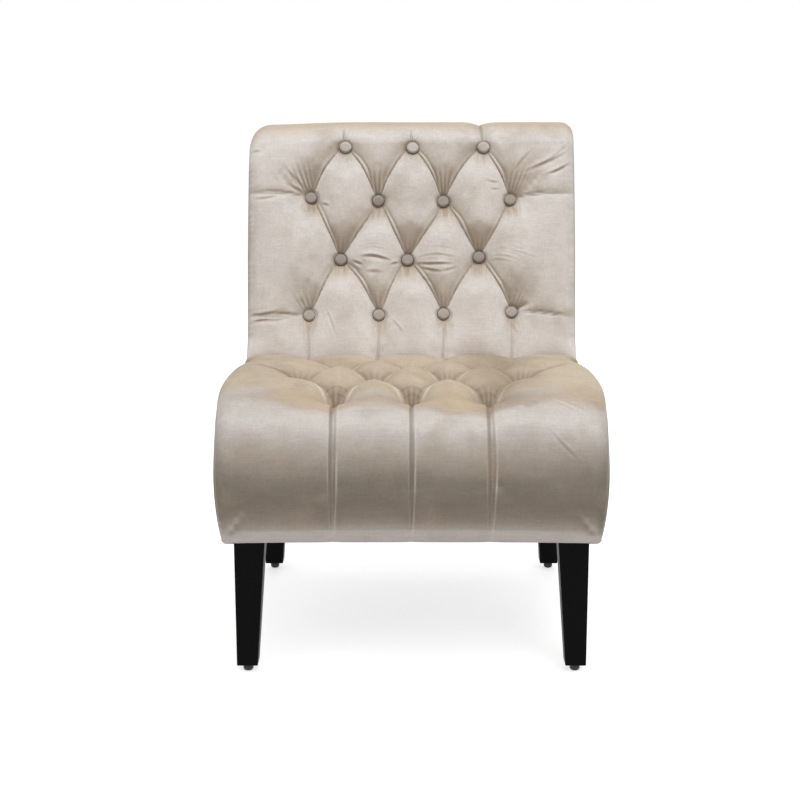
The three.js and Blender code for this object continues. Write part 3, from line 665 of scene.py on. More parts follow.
def settle_in(piece: Piece, slot: Slot, *nodes: str) -> None:
    """Rides a piece on the chair and lets it stand for CAD nodes, which it hides."""
    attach(piece, ROOT_BODY)
    if nodes:
        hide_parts(*nodes)
    log.info("%s: %d points for %s", piece.name, len(piece.data.vertices), ", ".join(nodes) or "no node")


@dataclass
class TuftedCover:
    """A velvet cover drawn over its padding by rows of buttons, with rounded edges, sides and a hem."""

    name: str = "cover"
    half_step: int = 44
    edge_flat: int = 54
    edge_round: int = 12
    side_steps: int = 26
    hem_round: int = 4
    hem_steps: int = 4
    hem_radius: float = 0.004
    hem_width: float = 0.016
    thickness: float = 0.0012
    fill: float = 0.9
    pitch: float = 0.119
    columns: int = 4
    node: str = ""
    button_depth: float = 0.027
    seam_angle: tuple[float, float] = (math.radians(62.0), math.radians(40.0))
    seam_depth: float = 0.0011
    seam_width: float = 0.0014
    coarse_step: int = 4
    held_drops: tuple[float, float] = (0.004, 0.009)
    inflation: Inflation = Inflation()

    def face_outline(self) -> Outline:
        """The outline that the tufted face follows."""
        raise NotImplementedError

    def hem_outline(self) -> Outline:
        """The outline that the sides' far edges follow."""
        raise NotImplementedError

    def stations(self) -> Array:
        """Distances along the face outline of the rows of points."""
        raise NotImplementedError

    def hem_places(self, stations: Array) -> Array:
        """Distances along the hem outline that go with the stations."""
        raise NotImplementedError

    def half_at(self, place: Array) -> Array:
        """Half widths at places in depth and height."""
        raise NotImplementedError

    def edge_radius(self, stations: Array, place: Array, side: int) -> Array:
        """Radii of the rounded edge between the face and one side."""
        raise NotImplementedError

    def relief(self) -> Relief:
        """The tufting."""
        raise NotImplementedError

    def side_crown(self, place: Array) -> Array:
        """How far the side bulges at places in depth and height."""
        raise NotImplementedError

    def row(self, count: int, s: float) -> list[Place]:
        """Places of a row of buttons with even steps between them."""
        return [((i - (count - 1) / 2.0) * self.pitch, s) for i in range(count)]

    def diagonal_pleats(
        self, rows: list[list[Place]], depth: float, reach: float, bows: tuple[Place, ...]
    ) -> list[Pleat]:
        """Pleats between the buttons of neighbouring rows.

        Args:
            rows: The places of each row's buttons.
            depth: How far the pleats draw the cloth in.
            reach: How far their slopes reach.
            bows: For each gap between rows, the bows of the pleats that run to the left and to the right.

        Returns:
            The pleats.
        """
        pleats = []
        for upper, lower, bow in zip(rows, rows[1:], bows):
            for start in upper:
                for end in lower:
                    if abs(end[0] - start[0]) < self.pitch:
                        right = end[0] > start[0]
                        own = bow[1 if right else 0] + 0.001 * math.sin(37.0 * start[0] + 61.0 * end[1])
                        flap = 1 if right else -1
                        pleats.append(Pleat(start, end, (depth, depth), reach, bow=own, flap=flap))
        return pleats

    def points(self) -> tuple[Array, Array, Array, Array]:
        """Works out the cover's points.

        Returns:
            Points as rows by columns by XYZ, and the painted crease shade, the drop and the painted halo of
            each point.
        """
        stations = self.stations()
        face, hem = self.face_outline(), self.hem_outline()
        place, outward = face.at(stations)
        hem_place, hem_outward = hem.at(self.hem_places(stations))
        half = self.half_at(place)
        hem_half = self.half_at(hem_place)
        outer = (self.columns - 1) / 2.0 * self.pitch
        columns: list[Array] = []
        marks: list[tuple[Array, Array, Array]] = []
        relief = self.relief()

        def face_column(x: Array, inset: Array) -> None:
            radius = self.edge_radius(stations, place, 1 if x[0] > 0.0 else -1)
            height, crease, drop, halo = relief.heights(x, stations)
            fade = 1.0 - inset / np.maximum(radius, 1e-6)
            offset = height * np.clip(fade, 0.0, 1.0) - inset
            offset = offset + self.seam_relief(x, half, stations, radius) + self.swell(x, stations)
            yz = place + outward * offset[:, None]
            columns.append(np.column_stack([x, yz]))
            marks.append((crease * fade, drop * fade, halo))

        def plain_column(x: Array, yz: Array) -> None:
            columns.append(np.column_stack([x, yz]))
            marks.append((np.zeros_like(x),) * 3)

        def edge_columns(side: int) -> None:
            radius = self.edge_radius(stations, place, side)
            for i in range(1, self.edge_flat + 1):
                x = outer + (half - radius - outer) * i / self.edge_flat
                face_column(side * x, np.zeros_like(half))
            near = place - outward * radius[:, None]
            flare = self.half_at(near) - half
            for i in range(1, self.edge_round + 1):
                turn = QUARTER_TURN * i / self.edge_round
                x = half - radius + radius * math.sin(turn) + flare * (i / self.edge_round) ** 2
                face_column(side * x, radius * (1.0 - math.cos(turn)))
            far = hem_place - hem_outward * self.hem_radius
            for i in range(1, self.side_steps + 1):
                share = i / self.side_steps
                yz = near + (far - near) * share
                plain_column(side * (self.half_at(yz) + self.side_crown(yz)), yz)
            for i in range(1, self.hem_round + 1):
                turn = QUARTER_TURN * i / self.hem_round
                x = hem_half - self.hem_radius * (1.0 - math.cos(turn))
                plain_column(side * x, hem_place - hem_outward * self.hem_radius * (1.0 - math.sin(turn)))
            for i in range(1, self.hem_steps + 1):
                x = hem_half - self.hem_radius - self.hem_width * i / self.hem_steps
                plain_column(side * x, hem_place.copy())

        edge_columns(-1)
        columns.reverse()
        marks.reverse()
        inner = (self.columns - 1) * 2 * self.half_step
        for i in range(inner + 1):
            face_column(np.full_like(half, -outer + 2.0 * outer * i / inner), np.zeros_like(half))
        edge_columns(1)
        points = np.stack(columns, axis=1)
        points[:, :, 1] += CHAIR.front
        return points, *(np.stack([mark[i] for mark in marks], axis=1) for i in range(3))

    def seam_relief(
        self, x: Array, half: Array, stations: Array, radius: Array
    ) -> Array:
        """The groove and small puckers of the seam on the rounded edge."""
        side = np.sign(x)
        angle = np.where(side > 0, self.seam_angle[1], self.seam_angle[0])
        seam = half - radius + radius * np.sin(angle)
        away = np.abs(x) - seam
        groove = -self.seam_depth * np.exp(-((away / self.seam_width) ** 2))
        pucker = np.sin(stations * 410.0 + 4.0 * np.sin(stations * 71.0)) * np.exp(-((away / 0.007) ** 2))
        return groove + 0.00012 * pucker

    def swell(self, x: Array, stations: Array) -> Array:
        """How far the padding stands over the plain outline, besides its tufting."""
        return np.zeros_like(x)

    def lie_at(self, points: Array) -> Array:
        """Which way the pile lies at each point: 0 on the back, 1 over the nose and 2 on top of the seat; it
        picks the velvet's ramp of painted shade.
        """
        return np.zeros(points.shape[:2])

    def inflate(self, points: Array, drop: Array, material: Material) -> Array:
        """Swells the pillows between the pleats with a simulation on a coarse copy of the cover.

        Args:
            points: The cover's points, rows by columns by XYZ.
            drop: How far each point is drawn in.
            material: Any material for the copy.

        Returns:
            How far each point of the cover moves.
        """
        down, over = points.shape[:2]
        side = self.side_steps + self.hem_round + self.hem_steps
        rows = np.unique(np.r_[np.arange(0, down, self.coarse_step), down - 1])
        columns = np.unique(np.r_[np.arange(side, over - side, self.coarse_step), over - 1 - side])
        copy = grid_piece(f"{self.name}_coarse", points[np.ix_(rows, columns)], material)
        held = smooth_step(drop[np.ix_(rows, columns)], *self.held_drops)
        held[[0, 1, -2, -1]] = 1.0
        held[:, [0, 1, -2, -1]] = 1.0
        moved = self.inflation.offsets(copy, held.reshape(-1)).reshape(len(rows), len(columns), 3)
        bpy.data.objects.remove(copy)
        spread = np.empty(points.shape)
        for axis in range(3):
            lines = np.stack([np.interp(np.arange(over), columns, line) for line in moved[..., axis]])
            spread[..., axis] = np.stack([np.interp(np.arange(down), rows, line) for line in lines.T], axis=1)
        return spread

    def build(self, material: Material) -> Piece:
        """Makes the cover.

        Args:
            material: The velvet.

        Returns:
            The finished object.
        """
        points, crease, drop, halo = self.points()
        points = points + self.inflate(points, drop, material)
        piece = grid_piece(self.name, points, material)
        # crease, drawn_in and halo carry the velvet's painted shade, painted highlights and painted tan; lie
        # picks its ramp of painted shade.
        write_attribute(piece, "crease", crease)
        write_attribute(piece, "drawn_in", drop)
        write_attribute(piece, "halo", halo)
        write_attribute(piece, "lie", self.lie_at(points))
        thicken(piece, self.thickness, -1.0)
        settle_in(piece, Slot.VELVET, self.node)
        return piece


@dataclass
class SeatCover(TuftedCover):
    """The seat's cover: a tufted top, a rolled nose with three pleats, and sides down to the base."""

    name: str = "seat_velvet"
    node: str = "seat_cover"
    nose_length: float = 0.1
    nose_height: float = 0.108
    nose_undercut: float = 0.022
    bottom_draw: float = 0.01
    bulge_run: float = 0.145
    edge: float = 0.026
    first_row: float = 0.032
    front_row: float = 0.339
    hem_run: float = 0.045
    tuft_depth: float = 0.020
    pleat_depth: float = 0.0175
    button_depth: float = 0.041
    rear_edge: float = 0.048
    crevice_gap: float = 0.0015
    crevice_lap: float = 0.003
    crown_rise: Triple = (0.0135, 0.095, 0.175)
    crown_fall: Triple = (0.0135, 0.29, 0.42)
    pleat_reach: float = 0.052
    nose_depths: tuple[float, ...] = (0.0075, 0.0062, 0.0075)
    nose_folds: tuple[float, ...] = (0.0125, 0.0085, 0.0135)
    gather_heights: tuple[float, ...] = (0.0007, 0.0007, 0.0012)
    shallow_depth: float = 0.008
    pile_turns: tuple[float, float] = (0.116, 0.150)
    strays: tuple[float, ...] = (0.0, 0.008, 0.014, -0.001)
    depth_shares: tuple[float, ...] = (0.8, 0.84, 1.0)
    tuck: float = 0.02
    tuck_run: float = 0.022
    bulge_start: float = 0.03
    bulge_rise: float = 0.13
    bows: tuple[Place, ...] = ((-0.004, 0.004), (-0.004, 0.004), (-0.004, 0.004))
    seam_angle: tuple[float, float] = (math.radians(75.0), math.radians(75.0))

    @property
    def nose_centre(self) -> float:
        """Height of the nose's widest place."""
        return CHAIR.seat_height - self.nose_height

    @property
    def rear_top(self) -> float:
        """Depth at which the top starts to roll down into the crevice."""
        return CHAIR.seat_depth - 0.0065 - self.tuck_run

    def top_at(self, depth: float) -> float:
        """Height of the top of the pillows at a depth: fullest in the middle of the seat."""
        rise, rise_start, rise_end = self.crown_rise
        fall, fall_start, fall_end = self.crown_fall
        place = np.array(depth)
        crown = rise * smooth_step(place, rise_start, rise_end)
        crown = crown - fall * smooth_step(place, fall_start, fall_end)
        return CHAIR.seat_height + float(crown)

    def along_top(self, depth: float) -> float:
        """Distance along the outline of a depth on the top."""
        return self.face_outline().marks[1] + self.rear_top - depth

    def face_outline(self) -> Outline:
        """From the crevice forwards, over the nose, down and under to the frame."""
        centre = self.nose_centre
        low = self.top_at(self.rear_top) - self.tuck
        outline = Outline((self.rear_top + self.tuck_run, low))
        outline.arc((self.rear_top, low), (self.tuck_run, self.tuck), 0.0, QUARTER_TURN)
        for depth in np.linspace(self.rear_top, self.nose_length, 25)[1:]:
            outline.line(float(depth), self.top_at(float(depth)))
        outline.marks = outline.marks[:2] + [outline.length]
        outline.arc((self.nose_length, centre), (self.nose_length, self.nose_height), QUARTER_TURN, math.pi)
        drop = centre - CHAIR.base_floor
        outline.arc((self.nose_undercut, centre), (self.nose_undercut, drop), math.pi, 1.5 * math.pi)
        outline.line(self.nose_undercut + self.hem_run, CHAIR.base_floor)
        return outline

    def hem_outline(self) -> Outline:
        """Down the rear of the sides and forwards along the base."""
        low = self.top_at(self.rear_top) - self.tuck
        rear = CHAIR.seat_depth - 0.0003
        outline = Outline((rear - self.crevice_gap, low + self.crevice_lap), outward=-1)
        outline.line(rear, low - 2.0 * self.hem_radius)
        outline.line(rear, CHAIR.base_floor)
        outline.line(self.nose_undercut, CHAIR.base_floor)
        return outline

    def stations(self) -> Array:
        """Rows of points: short ones over the tufts, longer ones over the nose."""
        marks = self.face_outline().marks
        rows = self.rows()
        first, last = rows[0][0][1], rows[-1][0][1]
        return np.concatenate([
            np.linspace(0.0, first, 22, endpoint=False),
            np.linspace(first, last, 3 * self.half_step, endpoint=False),
            np.linspace(last, marks[4], 100, endpoint=False),
            np.linspace(marks[4], marks[5], 10),
        ])

    def hem_places(self, stations: Array) -> Array:
        """The rear edge goes with the back of the top, and the base with the rest."""
        marks = self.face_outline().marks
        hem = self.hem_outline()
        return np.interp(stations, [0.0, 0.13, marks[4]], [0.0, hem.marks[2], hem.length])

    def half_at(self, place: Array) -> Array:
        """Widest over the nose, drawn in at the crevice and towards the base."""
        rearward = smooth_step(place[..., 0], CHAIR.seat_depth - self.bulge_run, CHAIR.seat_depth)
        under = np.clip((self.nose_centre - place[..., 1]) / (self.nose_centre - CHAIR.base_floor), 0.0, 1.0)
        behind_nose = smooth_step(place[..., 0], self.bulge_start, self.bulge_start + self.bulge_rise)
        bulge = CHAIR.side_bulge * behind_nose * (1.0 - rearward) - CHAIR.side_draw * rearward
        return CHAIR.half + bulge - self.bottom_draw * under * under * (1.0 - rearward * 0.8)

    def edge_radius(self, stations: Array, place: Array, side: int) -> Array:
        """Full over the top and nose, small at the crevice and at the base."""
        under = np.clip((self.nose_centre - place[:, 1]) / (self.nose_centre - CHAIR.base_floor), 0.0, 1.0)
        tucked = 1.0 - smooth_step(stations, 0.0, 0.055)
        rearward = smooth_step(place[:, 0], 0.2, 0.4)
        full = self.edge + (self.rear_edge - self.edge) * rearward
        return full + (self.hem_radius - full) * under**1.6 - 0.96 * full * tucked

    def side_crown(self, place: Array) -> Array:
        """A gentle bulge half way down the side."""
        rise = (place[..., 1] - CHAIR.base_floor) / (CHAIR.seat_height - CHAIR.base_floor)
        return 0.0025 * np.sin(np.pi * np.clip(rise, 0.0, 1.0))

    def rows(self) -> list[list[Place]]:
        """Rows of tufts from the crevice to the front."""
        steps = 3
        first = self.along_top(CHAIR.seat_depth - self.first_row)
        gap = (self.front_row - self.first_row) / steps
        return [
            self.row(self.columns - i % 2, first + gap * i - stray) for i, stray in enumerate(self.strays)
        ]

    def relief(self) -> Relief:
        """The seat's tufting, the nose's pleats and its wrinkles."""
        rows = self.rows()
        end = self.face_outline().marks[4]
        # Seat pleats: a faint painted dark line and a strong painted highlight along each lip.
        pleats = [
            replace(pleat, fold_height=0.0002, fold=0.005, flap=0, strength=0.4, lip=2.8)
            for pleat in self.diagonal_pleats(rows, self.pleat_depth, self.pleat_reach, self.bows)
        ]
        for (x, s), depth, fold in zip(rows[-1], self.nose_depths, self.nose_folds):
            ends = (x, s), (x, end)
            pleats.append(
                Pleat(*ends, (depth, 0.0005), 0.036, fold, 0.0016, 0.001, open_end=True, sunk_band=True)
            )
        pleats = [self.shallow_behind(pleat, rows[0][0][1]) for pleat in pleats]
        for x, s in rows[0]:
            pleats.append(Pleat((x, s), (x, 0.012), (self.shallow_depth, 0.003), 0.045, 0.005, 0.0002))
        for side in Side:
            x, s = rows[2][-1]
            ends = (side.value * x, s), (side.value * 0.272, s - 0.062)
            pleats.append(Pleat(*ends, (0.013, 0.0), 0.040, 0.004, 0.0002, side.value * 0.006))
        wrinkles = [
            Wrinkle((0.206, 0.376), (0.288, 0.447), 0.0008, 0.0020, 0.002),
            Wrinkle((0.203, 0.446), (0.252, 0.503), 0.0007, 0.0018, -0.002),
            Wrinkle((0.248, 0.381), (0.300, 0.390), 0.0010, 0.0022, 0.001),
            Wrinkle((0.268, 0.508), (0.262, 0.568), 0.0005, 0.0040),
            Wrinkle((-0.27, 0.368), (-0.235, 0.408), 0.0005, 0.0050, 0.003),
        ]
        gathers = [
            Gather(place, -1.0, height, reach=0.055, spread=0.6, folds=6.0)
            for places, height in zip(rows[1:], self.gather_heights)
            for place in places
        ]
        buttons = [(place, share) for places, share in zip(rows[1:], self.depth_shares) for place in places]
        # The seat's buttons get a lighter painted shadow ring and a painted highlight on the fold in front.
        return Relief(
            buttons, pleats, wrinkles, gathers, self.tuft_depth,
            button_reach=0.066, steep_share=0.12, slope_power=2.7, calm_after=rows[-1][0][1],
            rim_shade=0.3, front_lip=1.4,
        )

    def lie_at(self, points: Array) -> Array:
        """The pile turns over behind the front row of buttons."""
        return 1.0 + smooth_step(points[..., 1] - CHAIR.front, *self.pile_turns)

    def shallow_behind(self, pleat: Pleat, last: float) -> Pleat:
        """Makes a pleat shallow where it ends in the unbuttoned row by the crevice."""
        ends = zip((pleat.start, pleat.end), pleat.depth)
        depth = tuple(self.shallow_depth if place[1] <= last + MILLIMETRE else deep for place, deep in ends)
        return replace(pleat, depth=depth)

    def button_frames(self) -> list[tuple[str, Matrix]]:
        """The CAD buttons' names and the frames that they stand in."""
        rows = self.rows()[1:]
        return [
            (
                f"seat_button_row_{len(rows) - line}_{i + 1}",
                button_frame(self.face_outline(), x, s, self.button_depth * share),
            )
            for line, (places, share) in enumerate(zip(rows, self.depth_shares))
            for i, (x, s) in enumerate(places)
        ]


@dataclass
class BackCover(TuftedCover):
    """The back's cover: a tufted face over the top roll, with sides round to the outside back."""

    name: str = "back_velvet"
    node: str = "back_cover"
    edge: float = 0.02
    edge_flat: int = 50
    hem_radius: float = 0.009
    hem_width: float = 0.0035
    low_row: float = 0.069
    top_row_below_roll: float = 0.008
    tuft_depth: float = 0.008
    pleat_depth: float = 0.0125
    button_depth: float = 0.0205
    roll_edges: tuple[float, float] = (0.038, 0.022)
    tuck: float = 0.016
    strays: tuple[tuple[Place, ...], ...] = (
        ((0.0012, 0.0018), (0.0018, 0.0008), (0.0094, 0.002)),
        ((-0.0009, 0.0111), (-0.0001, 0.0064), (-0.0029, 0.0048), (-0.0026, 0.0075)),
        ((-0.0068, -0.0009), (-0.0067, -0.0018), (0.0012, 0.0032)),
        ((-0.0029, -0.0028), (0.0015, -0.0018), (-0.0032, 0.0), (-0.0015, 0.0032)),
    )
    bows: tuple[Place, ...] = ((-0.0085, 0.0070), (0.0005, 0.0025), (-0.0035, 0.0070))
    depth_shares: tuple[float, ...] = (0.55, 1.0, 1.0, 0.8)
    left_sag: float = 0.0050
    fold: float = 0.0082
    pleat_reach: float = 0.051
    roll_pleats: tuple[Place, ...] = ((0.007, 0.040), (0.006, 0.034), (0.010, 0.15))
    soft_dents: tuple[tuple[int, int, Place, float], ...] = (
        (1, 0, (-0.020, 0.030), 0.006),
        (3, -1, (0.034, 0.016), 0.011),
    )
    side_falls: tuple[Place, ...] = ((0.007, 0.011), (-0.003, -0.007))
    side_bows: tuple[Place, ...] = ((-0.004, 0.005), (-0.003, 0.002))

    def face_outline(self) -> Outline:
        """From the seam behind, over the roll, down the face and on down behind the seat."""
        centre = CHAIR.roll_centre
        seam = CHAIR.leaning_point(CHAIR.lean_run - CHAIR.rear_wrap)
        tangent = CHAIR.leaning_point(CHAIR.lean_run)
        outline = Outline(seam)
        outline.line(*tangent)
        radius = CHAIR.roll_radius
        outline.arc(centre, (radius, radius), -CHAIR.lean, math.pi - CHAIR.back_rake)
        outline.line(CHAIR.seat_depth, CHAIR.seat_height)
        outline.line(CHAIR.seat_depth - self.tuck * math.tan(CHAIR.back_rake), CHAIR.seat_height - self.tuck)
        outline.line(CHAIR.seat_depth, CHAIR.seat_height - 2.0 * self.tuck)
        outline.line(CHAIR.seat_depth, CHAIR.base_floor)
        return outline

    def hem_outline(self) -> Outline:
        """Down the rear corner from the seam to the base."""
        outline = Outline(CHAIR.leaning_point(CHAIR.lean_run - CHAIR.rear_wrap), outward=-1)
        outline.line(CHAIR.base_depth, CHAIR.kick_height)
        outline.line(CHAIR.base_depth, CHAIR.base_floor)
        return outline

    @property
    def crevice(self) -> float:
        """Distance along the face outline of the crevice."""
        return self.face_outline().marks[3]

    def rows(self) -> list[list[Place]]:
        """Rows of buttons from the top down, each button strayed a little from its row."""
        first = self.face_outline().marks[2] + self.top_row_below_roll
        last = self.crevice - self.low_row
        steps = len(self.strays) - 1
        rows = []
        for i, strays in enumerate(self.strays):
            places = self.row(len(strays), first + (last - first) * i / steps)
            rows.append([(x + aside, s - up) for (x, s), (aside, up) in zip(places, strays)])
        return rows

    def stations(self) -> Array:
        """Rows of points: short ones over the tufts, longer ones behind and below."""
        rows = self.rows()
        first, last = rows[0][0][1], rows[-1][0][1]
        marks = self.face_outline().marks
        return np.concatenate([
            np.linspace(0.0, marks[1], 18, endpoint=False),
            np.linspace(marks[1], first, 60, endpoint=False),
            np.linspace(first, last, 3 * self.half_step, endpoint=False),
            np.linspace(last, marks[3], 26, endpoint=False),
            np.linspace(marks[3], marks[5], 14, endpoint=False),
            np.linspace(marks[5], marks[6], 20),
        ])

    def hem_places(self, stations: Array) -> Array:
        """The roll fans out from the seam, and the face goes with the rear corner."""
        marks = self.face_outline().marks
        hem = self.hem_outline()
        return np.interp(stations, [0.0, marks[2], marks[3], marks[6]], [0.0, 0.03, 0.29, hem.length])

    def half_at(self, place: Array) -> Array:
        """The back is as wide all the way up."""
        return np.full(place.shape[:-1], CHAIR.back_half)

    def edge_radius(self, stations: Array, place: Array, side: int) -> Array:
        """Full down the face, small at the seam behind and below the seat."""
        marks = self.face_outline().marks
        rise = smooth_step(stations, 0.0, marks[1])
        roll = rise * (1.0 - smooth_step(stations, marks[2] - 0.05, marks[2] + 0.05))
        fall = smooth_step(stations, marks[3] - 0.03, marks[3] + 0.012)
        plain = self.hem_radius + (self.edge - self.hem_radius) * rise + (0.004 - self.edge) * fall
        roll_edge = self.roll_edges[0 if side < 0 else 1]
        return plain + (roll_edge - self.edge) * roll

    def side_crown(self, place: Array) -> Array:
        """A slight bulge along the middle of the side."""
        rise = (place[..., 1] - CHAIR.seat_height) / (CHAIR.height - CHAIR.seat_height)
        return 0.0015 * np.sin(np.pi * np.clip(rise, 0.0, 1.0))

    def relief(self) -> Relief:
        """The back's tufting, with the folds at its sides and the wrinkles between its buttons."""
        rows = self.rows()
        shares = {place: share for places, share in zip(rows, self.depth_shares) for place in places}
        pleats = []
        for pleat in self.diagonal_pleats(rows, self.pleat_depth, self.pleat_reach, self.bows):
            depth = (shares[pleat.start] * self.pleat_depth, shares[pleat.end] * self.pleat_depth)
            pleats.append(replace(pleat, depth=depth, fold=self.fold))
        for (x, s), (depth, run) in zip(rows[0], self.roll_pleats):
            pleats.append(Pleat((x, s), (x - 0.1 * run, s - run), (depth, 0.0), 0.034, 0.003, 0.0005))
        low = self.face_outline().length
        for x, s in rows[-1]:
            ends = (x, s), (x, low)
            pleats.append(
                Pleat(*ends, (0.0042, 0.0042), 0.026, 0.0030, 0.0006, open_end=True, strength=0.6)
            )
        for places, falls, bows in zip((rows[1], rows[3]), self.side_falls, self.side_bows):
            for side, (x, s), fall, bow in zip(Side, (places[0], places[-1]), falls, bows):
                ends = (x, s), (side.value * CHAIR.back_half, s - fall)
                pleats.append(
                    Pleat(*ends, (0.0038, 0.0006), 0.018, 0.0036, 0.0008, bow=bow, strength=0.95)
                )
        for line, i, (aside, up), depth in self.soft_dents:
            x, s = rows[line][i]
            ends = (x, s), (x + aside, s - up)
            pleats.append(Pleat(*ends, (depth, 0.0), 0.036, 0.004, 0.0, strength=0.0))
        gathers = []
        for line, places in enumerate(rows):
            height, reach, folds = (0.0012, 0.07, 6.0) if line == 1 else (0.0008, 0.045, 5.0)
            for place in places:
                outer = abs(place[0]) > 1.4 * self.pitch
                lean = 0.35 * math.copysign(1.0, place[0]) if outer else 0.0
                gathers.append(Gather(place, -1.0, height, reach=reach, folds=folds, lean=lean))
                gathers.append(Gather(place, 1.0, 0.0009, reach=0.03, folds=6.0))
        buttons = [(place, share) for places, share in zip(rows, self.depth_shares) for place in places]
        return Relief(buttons, pleats, self.wrinkles(), gathers, self.tuft_depth)

    def wrinkles(self) -> list[Wrinkle]:
        """Small folds of the back, placed across and up from the crevice."""
        marked = [
            ((-0.288, 0.357), (-0.262, 0.361), 0.0012, 0.0022, 0.002),
            ((-0.288, 0.058), (-0.200, 0.070), 0.0009, 0.0024, -0.006),
            ((-0.288, 0.050), (-0.240, 0.062), 0.0012, 0.0022, 0.002),
            ((-0.288, 0.066), (-0.230, 0.078), 0.0007, 0.0024, -0.003),
            ((-0.288, 0.276), (-0.226, 0.283), 0.0008, 0.0022, -0.003),
            ((0.195, 0.322), (0.288, 0.366), 0.0010, 0.0030, -0.003),
            ((0.235, 0.318), (0.288, 0.343), 0.0014, 0.0024, -0.003),
            ((0.215, 0.330), (0.286, 0.380), 0.0006, 0.0026, -0.004),
            ((0.178, 0.318), (0.224, 0.372), 0.0006, 0.0022, 0.002),
            ((-0.224, 0.333), (-0.186, 0.291), 0.0006, 0.0028, 0.0),
            ((-0.219, 0.304), (-0.190, 0.286), 0.0007, 0.0026, 0.0),
            ((-0.154, 0.082), (-0.132, 0.027), 0.0008, 0.0020, 0.001),
            ((-0.041, 0.065), (-0.012, 0.032), 0.0007, 0.0020, 0.001),
            ((0.177, 0.056), (0.186, 0.030), 0.0007, 0.0022, 0.0),
            ((-0.094, 0.173), (-0.032, 0.164), 0.0015, 0.0028, 0.004),
            ((-0.104, 0.167), (-0.084, 0.159), 0.0010, 0.0022, 0.0),
            ((-0.105, 0.161), (-0.090, 0.148), 0.0005, 0.0020, 0.001),
            ((-0.040, 0.157), (-0.018, 0.164), 0.0009, 0.0022, 0.0),
            ((-0.084, 0.146), (-0.046, 0.143), 0.0006, 0.0030, 0.002),
            ((0.004, 0.166), (0.088, 0.172), 0.0006, 0.0018, 0.006),
            ((0.006, 0.162), (0.078, 0.160), 0.0014, 0.0022, -0.003),
            ((0.014, 0.157), (0.060, 0.144), 0.0009, 0.0022, -0.003),
            ((0.050, 0.146), (0.084, 0.156), 0.0006, 0.0020, -0.002),
            ((0.008, 0.148), (0.036, 0.124), 0.0005, 0.0020, -0.001),
            ((0.132, 0.178), (0.228, 0.166), 0.0005, 0.0017, 0.010),
            ((0.136, 0.174), (0.214, 0.166), 0.0004, 0.0016, 0.008),
            ((0.136, 0.169), (0.196, 0.164), 0.0004, 0.0016, 0.006),
            ((0.134, 0.163), (0.182, 0.160), 0.0003, 0.0016, 0.004),
            ((0.128, 0.311), (0.161, 0.305), 0.0006, 0.0020, -0.003),
            ((0.136, 0.294), (0.160, 0.294), 0.0005, 0.0020, -0.002),
            ((-0.163, 0.268), (-0.145, 0.262), 0.0007, 0.0020, 0.0),
        ]
        for start, end, count in ((-0.108, -0.020, 6), (0.008, 0.104, 7), (0.134, 0.214, 5)):
            for i in range(count):
                up = 0.181 + 0.0052 * i + 0.001 * math.sin(5.0 * i + 40.0 * start)
                trim = 0.010 + 0.0035 * i + 0.006 * math.sin(3.0 * i + 30.0 * start)
                line = (start + trim, up), (end - trim, up + 0.002)
                marked.append((*line, 0.0004, 0.0017, 0.006 - 0.0005 * i))
        return [
            Wrinkle((x0, self.crevice - t0), (x1, self.crevice - t1), height, width, bow)
            for (x0, t0), (x1, t1), height, width, bow in marked
        ]

    def swell(self, x: Array, stations: Array) -> Array:
        """The top roll sinks towards its left end."""
        marks = self.face_outline().marks
        over = smooth_step(stations, marks[1] - 0.02, marks[1] + 0.03)
        over = over * (1.0 - smooth_step(stations, marks[2] - 0.03, marks[2] + 0.04))
        return -self.left_sag * smooth_step(-x, 0.10, 0.275) * over

    def button_frames(self) -> list[tuple[str, Matrix]]:
        """The CAD buttons' names and the frames that they stand in."""
        return [
            (
                f"back_button_row_{line + 1}_{i + 1}",
                button_frame(self.face_outline(), x, s, self.button_depth * share),
            )
            for line, (places, share) in enumerate(zip(self.rows(), self.depth_shares))
            for i, (x, s) in enumerate(places)
        ]


def button_frame(outline: Outline, x: float, s: float, depth: float) -> Matrix:
    """The frame of a button: on the floor of its dimple, with Z straight out of the cover.

    Args:
        outline: The face outline.
        x: Place across the cover.
        s: Distance along the outline.
        depth: How far below the outline the button's flat back lies.

    Returns:
        The frame.
    """
    place, outward = outline.at(np.array([s]))
    out = Vector((0.0, outward[0, 0], outward[0, 1]))
    at = Vector((x, place[0, 0] + CHAIR.front, place[0, 1])) - out * depth
    return Matrix.Translation(at) @ out.to_track_quat("Z", "Y").to_matrix().to_4x4()


